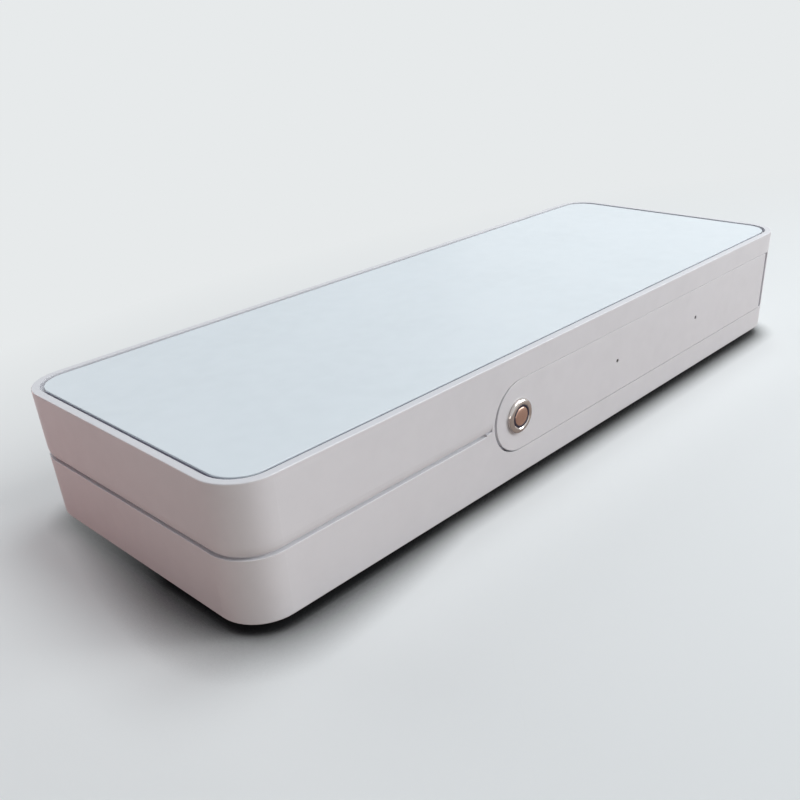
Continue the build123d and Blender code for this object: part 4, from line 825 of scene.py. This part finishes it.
def inlet_pin(name, x, z):
    """One pin and its tab."""
    pin = bar_mesh((PIN_WIDTH, pin_front_y - pin_back_y, PIN_HEIGHT), PIN_SOFTNESS)
    tab = bar_mesh(TAB_SIZE, TAB_SOFTNESS)
    pin_place = (x, (pin_front_y + pin_back_y) / 2, z)
    tab_place = (x, pin_back_y - TAB_SIZE[1] / 2, z)
    place_piece("inlet_pin_" + name, pin, "plated_steel", "inlet_pins", pin_place)
    place_piece("inlet_tab_" + name, tab, "plated_steel", "inlet_pins", tab_place)


inlet_pin("neutral", inlet_x - PIN_PITCH, LINE_PIN_Z)
inlet_pin("earth", inlet_x, EARTH_PIN_Z)
inlet_pin("live", inlet_x + PIN_PITCH, LINE_PIN_Z)

# Floor. A painted shadow darkens it close to the object, over a wider stretch near the front left corner.
FLOOR_REACH = 9.0
FLOOR_CLOUDS = 0.2
FLOOR_ROUGHNESS = (0.75, 0.85)
PAINTED_SHADOW_REACH = 14 * MM
PAINTED_SHADOW_STRENGTH = 1.7
CORNER_SHADOW_REACH = 42 * MM
CORNER_PLACE = (-0.215, -0.06, 0)
CORNER_SPREAD = 0.11
FADE_CENTRE = (0.08, -0.14, 0)
FADE_SCALE = (1, 1.6, 1)
FADE_START = 0.36
FADE_END = 0.8


def floor_material():
    """Pale to the camera and darker to other rays, with a painted shadow close to the object and the
    background's colour further out.
    """
    finish = Finish("floor", BOUNCE_COLOUR, specular=0.2)
    path = finish.add("ShaderNodeLightPath")
    seen = finish.calculate("MAXIMUM", path.outputs["Is Camera Ray"], path.outputs["Is Glossy Ray"])
    finish.tint(path.outputs["Is Camera Ray"], FLOOR_COLOUR)
    # Painted shadow: the floor's colour darkens where the object is near, more widely by the front left
    # corner
    corner_distance = finish.distance_from(CORNER_PLACE)
    contact = finish.add("ShaderNodeAmbientOcclusion", samples=8)
    reach = finish.spread(corner_distance, CORNER_SHADOW_REACH, PAINTED_SHADOW_REACH, 0, CORNER_SPREAD)
    finish.set_input(contact, "Distance", reach)
    closeness = finish.calculate("SUBTRACT", 1.0, contact.outputs["AO"])
    darkness = finish.calculate("MULTIPLY", closeness, PAINTED_SHADOW_STRENGTH)
    finish.tint(finish.calculate("MINIMUM", darkness, 1.0), PAINTED_SHADOW_COLOUR)
    finish.roughness(finish.noise(FLOOR_CLOUDS, 2), *FLOOR_ROUGHNESS)
    far = finish.spread(finish.distance_from(FADE_CENTRE, FADE_SCALE), 0, 1, FADE_START, FADE_END)
    glow = finish.add("ShaderNodeEmission")
    finish.set_input(glow, "Color", (*linear(BACKGROUND), 1))
    mixed = finish.add("ShaderNodeMixShader")
    finish.set_input(mixed, "Fac", finish.calculate("MULTIPLY", far, seen))
    finish.set_input(mixed, 1, finish.shader.outputs["BSDF"])
    finish.set_input(mixed, 2, glow.outputs["Emission"])
    finish.set_input(finish.output, "Surface", mixed.outputs["Shader"])
    return finish.material


def add_floor():
    """A wide square under the object."""
    mesh = bpy.data.meshes.new("floor")
    corners = [(FLOOR_REACH * x, FLOOR_REACH * y, 0) for x, y in ((-1, -1), (1, -1), (1, 1), (-1, 1))]
    mesh.from_pydata(corners, [], [(0, 1, 2, 3)])
    mesh.materials.append(floor_material())
    floor = bpy.data.objects.new("floor", mesh)
    bpy.context.scene.collection.objects.link(floor)


add_floor()

# Soft even light from all sides, as a linear colour
AMBIENT = (0.12, 0.127, 0.146)


def add_world():
    """Pale to the camera, in reflections and through glass, and a soft even light for the rest."""
    world = bpy.data.worlds.new("studio")
    bpy.context.scene.world = world
    world.use_nodes = True
    tree = world.node_tree
    tree.nodes.clear()
    path = tree.nodes.new("ShaderNodeLightPath")
    seen = tree.nodes.new("ShaderNodeMath")
    seen.operation = "MAXIMUM"
    seen_through = tree.nodes.new("ShaderNodeMath")
    seen_through.operation = "MAXIMUM"
    backdrop = tree.nodes.new("ShaderNodeBackground")
    ambient = tree.nodes.new("ShaderNodeBackground")
    choice = tree.nodes.new("ShaderNodeMixShader")
    output = tree.nodes.new("ShaderNodeOutputWorld")
    backdrop.inputs["Color"].default_value = (*linear(BACKGROUND), 1)
    ambient.inputs["Color"].default_value = (*AMBIENT, 1)
    tree.links.new(path.outputs["Is Camera Ray"], seen.inputs[0])
    tree.links.new(path.outputs["Is Glossy Ray"], seen.inputs[1])
    tree.links.new(seen.outputs[0], seen_through.inputs[0])
    tree.links.new(path.outputs["Is Transmission Ray"], seen_through.inputs[1])
    tree.links.new(seen_through.outputs[0], choice.inputs["Fac"])
    tree.links.new(ambient.outputs[0], choice.inputs[1])
    tree.links.new(backdrop.outputs[0], choice.inputs[2])
    tree.links.new(choice.outputs[0], output.inputs["Surface"])


add_world()

# Lamps. Sizes are in metres and powers in watts. The two beside the left wall have narrow beams.
WHITE = (1.0, 1.0, 1.0)
COOL_WHITE = (0.93, 0.98, 1.0)
FAINT_COOL_WHITE = (0.96, 0.99, 1.0)
FAINT_WARM_WHITE = (1.0, 0.96, 0.9)
WARM_WHITE = (1.0, 0.9, 0.82)
WARM_RED = (1.0, 0.34, 0.3)
CENTRE = (0, 0, 0)


def lamp(name, place, aim, size, power, colour, spread=pi):
    """A soft square lamp that faces the point aim."""
    data = bpy.data.lights.new(name, "AREA")
    data.size = size
    data.spread = spread
    data.energy = power
    data.color = colour
    lamp_object = bpy.data.objects.new(name, data)
    lamp_object.location = place
    lamp_object.visible_camera = False
    lamp_object.rotation_euler = (Vector(aim) - Vector(place)).to_track_quat("-Z", "Y").to_euler()
    bpy.context.scene.collection.objects.link(lamp_object)


lamp("key", (0.5, -1.25, 1.45), CENTRE, 1.1, 17, WHITE)
lamp("overhead", (0.55, 0.12, 1.4), CENTRE, 0.7, 8.4, COOL_WHITE)
lamp("front_low", (1.3, -1.2, 0.5), CENTRE, 0.7, 13.6, FAINT_COOL_WHITE)
lamp("left_warm", (-0.62, 0.3, 0.05), (-0.225, 0.06, 0.04), 0.12, 0.037, WARM_RED, 0.3 * pi)
lamp("corner_warm", (-0.55, -0.35, 0.045), (-0.225, -0.07, 0.035), 0.12, 0.05, WARM_WHITE, 0.35 * pi)
lamp("rear_glow", (1.5, 0.74, 0.42), (0.1, 0, 0.07), 0.9, 0.6, FAINT_WARM_WHITE)
lamp("rear_fill", (-0.2, 1.4, 1.0), (0, 0, 0.03), 0.9, 4.5, WHITE)

# Camera at the photograph's viewing angle. Angles are in radians.
VIEW_POINT = (-0.36794, -0.32370, 0.22298)
AZIMUTH = 0.772168
ELEVATION = -0.5256925
ROLL = -0.0528784
FOCAL_PIXELS = 882.41
PRINCIPAL = (430.0, 492.72)
IMAGE_SIZE = 800
SENSOR = 36.0
NEAREST_SEEN = 0.01


def add_camera():
    """The view turned by its roll, with the lens's centre at PRINCIPAL, in pixels of the picture."""
    forward = Vector((cos(AZIMUTH) * cos(ELEVATION), sin(AZIMUTH) * cos(ELEVATION), sin(ELEVATION)))
    level = forward.cross(Vector(UP)).normalized()
    above = level.cross(forward)
    right = cos(ROLL) * level + sin(ROLL) * above
    top = cos(ROLL) * above - sin(ROLL) * level
    data = bpy.data.cameras.new("camera")
    data.sensor_width = SENSOR
    data.lens = FOCAL_PIXELS / IMAGE_SIZE * SENSOR
    data.shift_x = (IMAGE_SIZE / 2 - PRINCIPAL[0]) / IMAGE_SIZE
    data.shift_y = (PRINCIPAL[1] - IMAGE_SIZE / 2) / IMAGE_SIZE
    data.clip_start = NEAREST_SEEN
    camera = bpy.data.objects.new("camera", data)
    rotation = Matrix((right, top, -forward)).transposed()
    camera.matrix_world = Matrix.Translation(VIEW_POINT) @ rotation.to_4x4()
    bpy.context.scene.collection.objects.link(camera)
    bpy.context.scene.camera = camera


add_camera()
bpy.context.scene.view_settings.view_transform = "Standard"
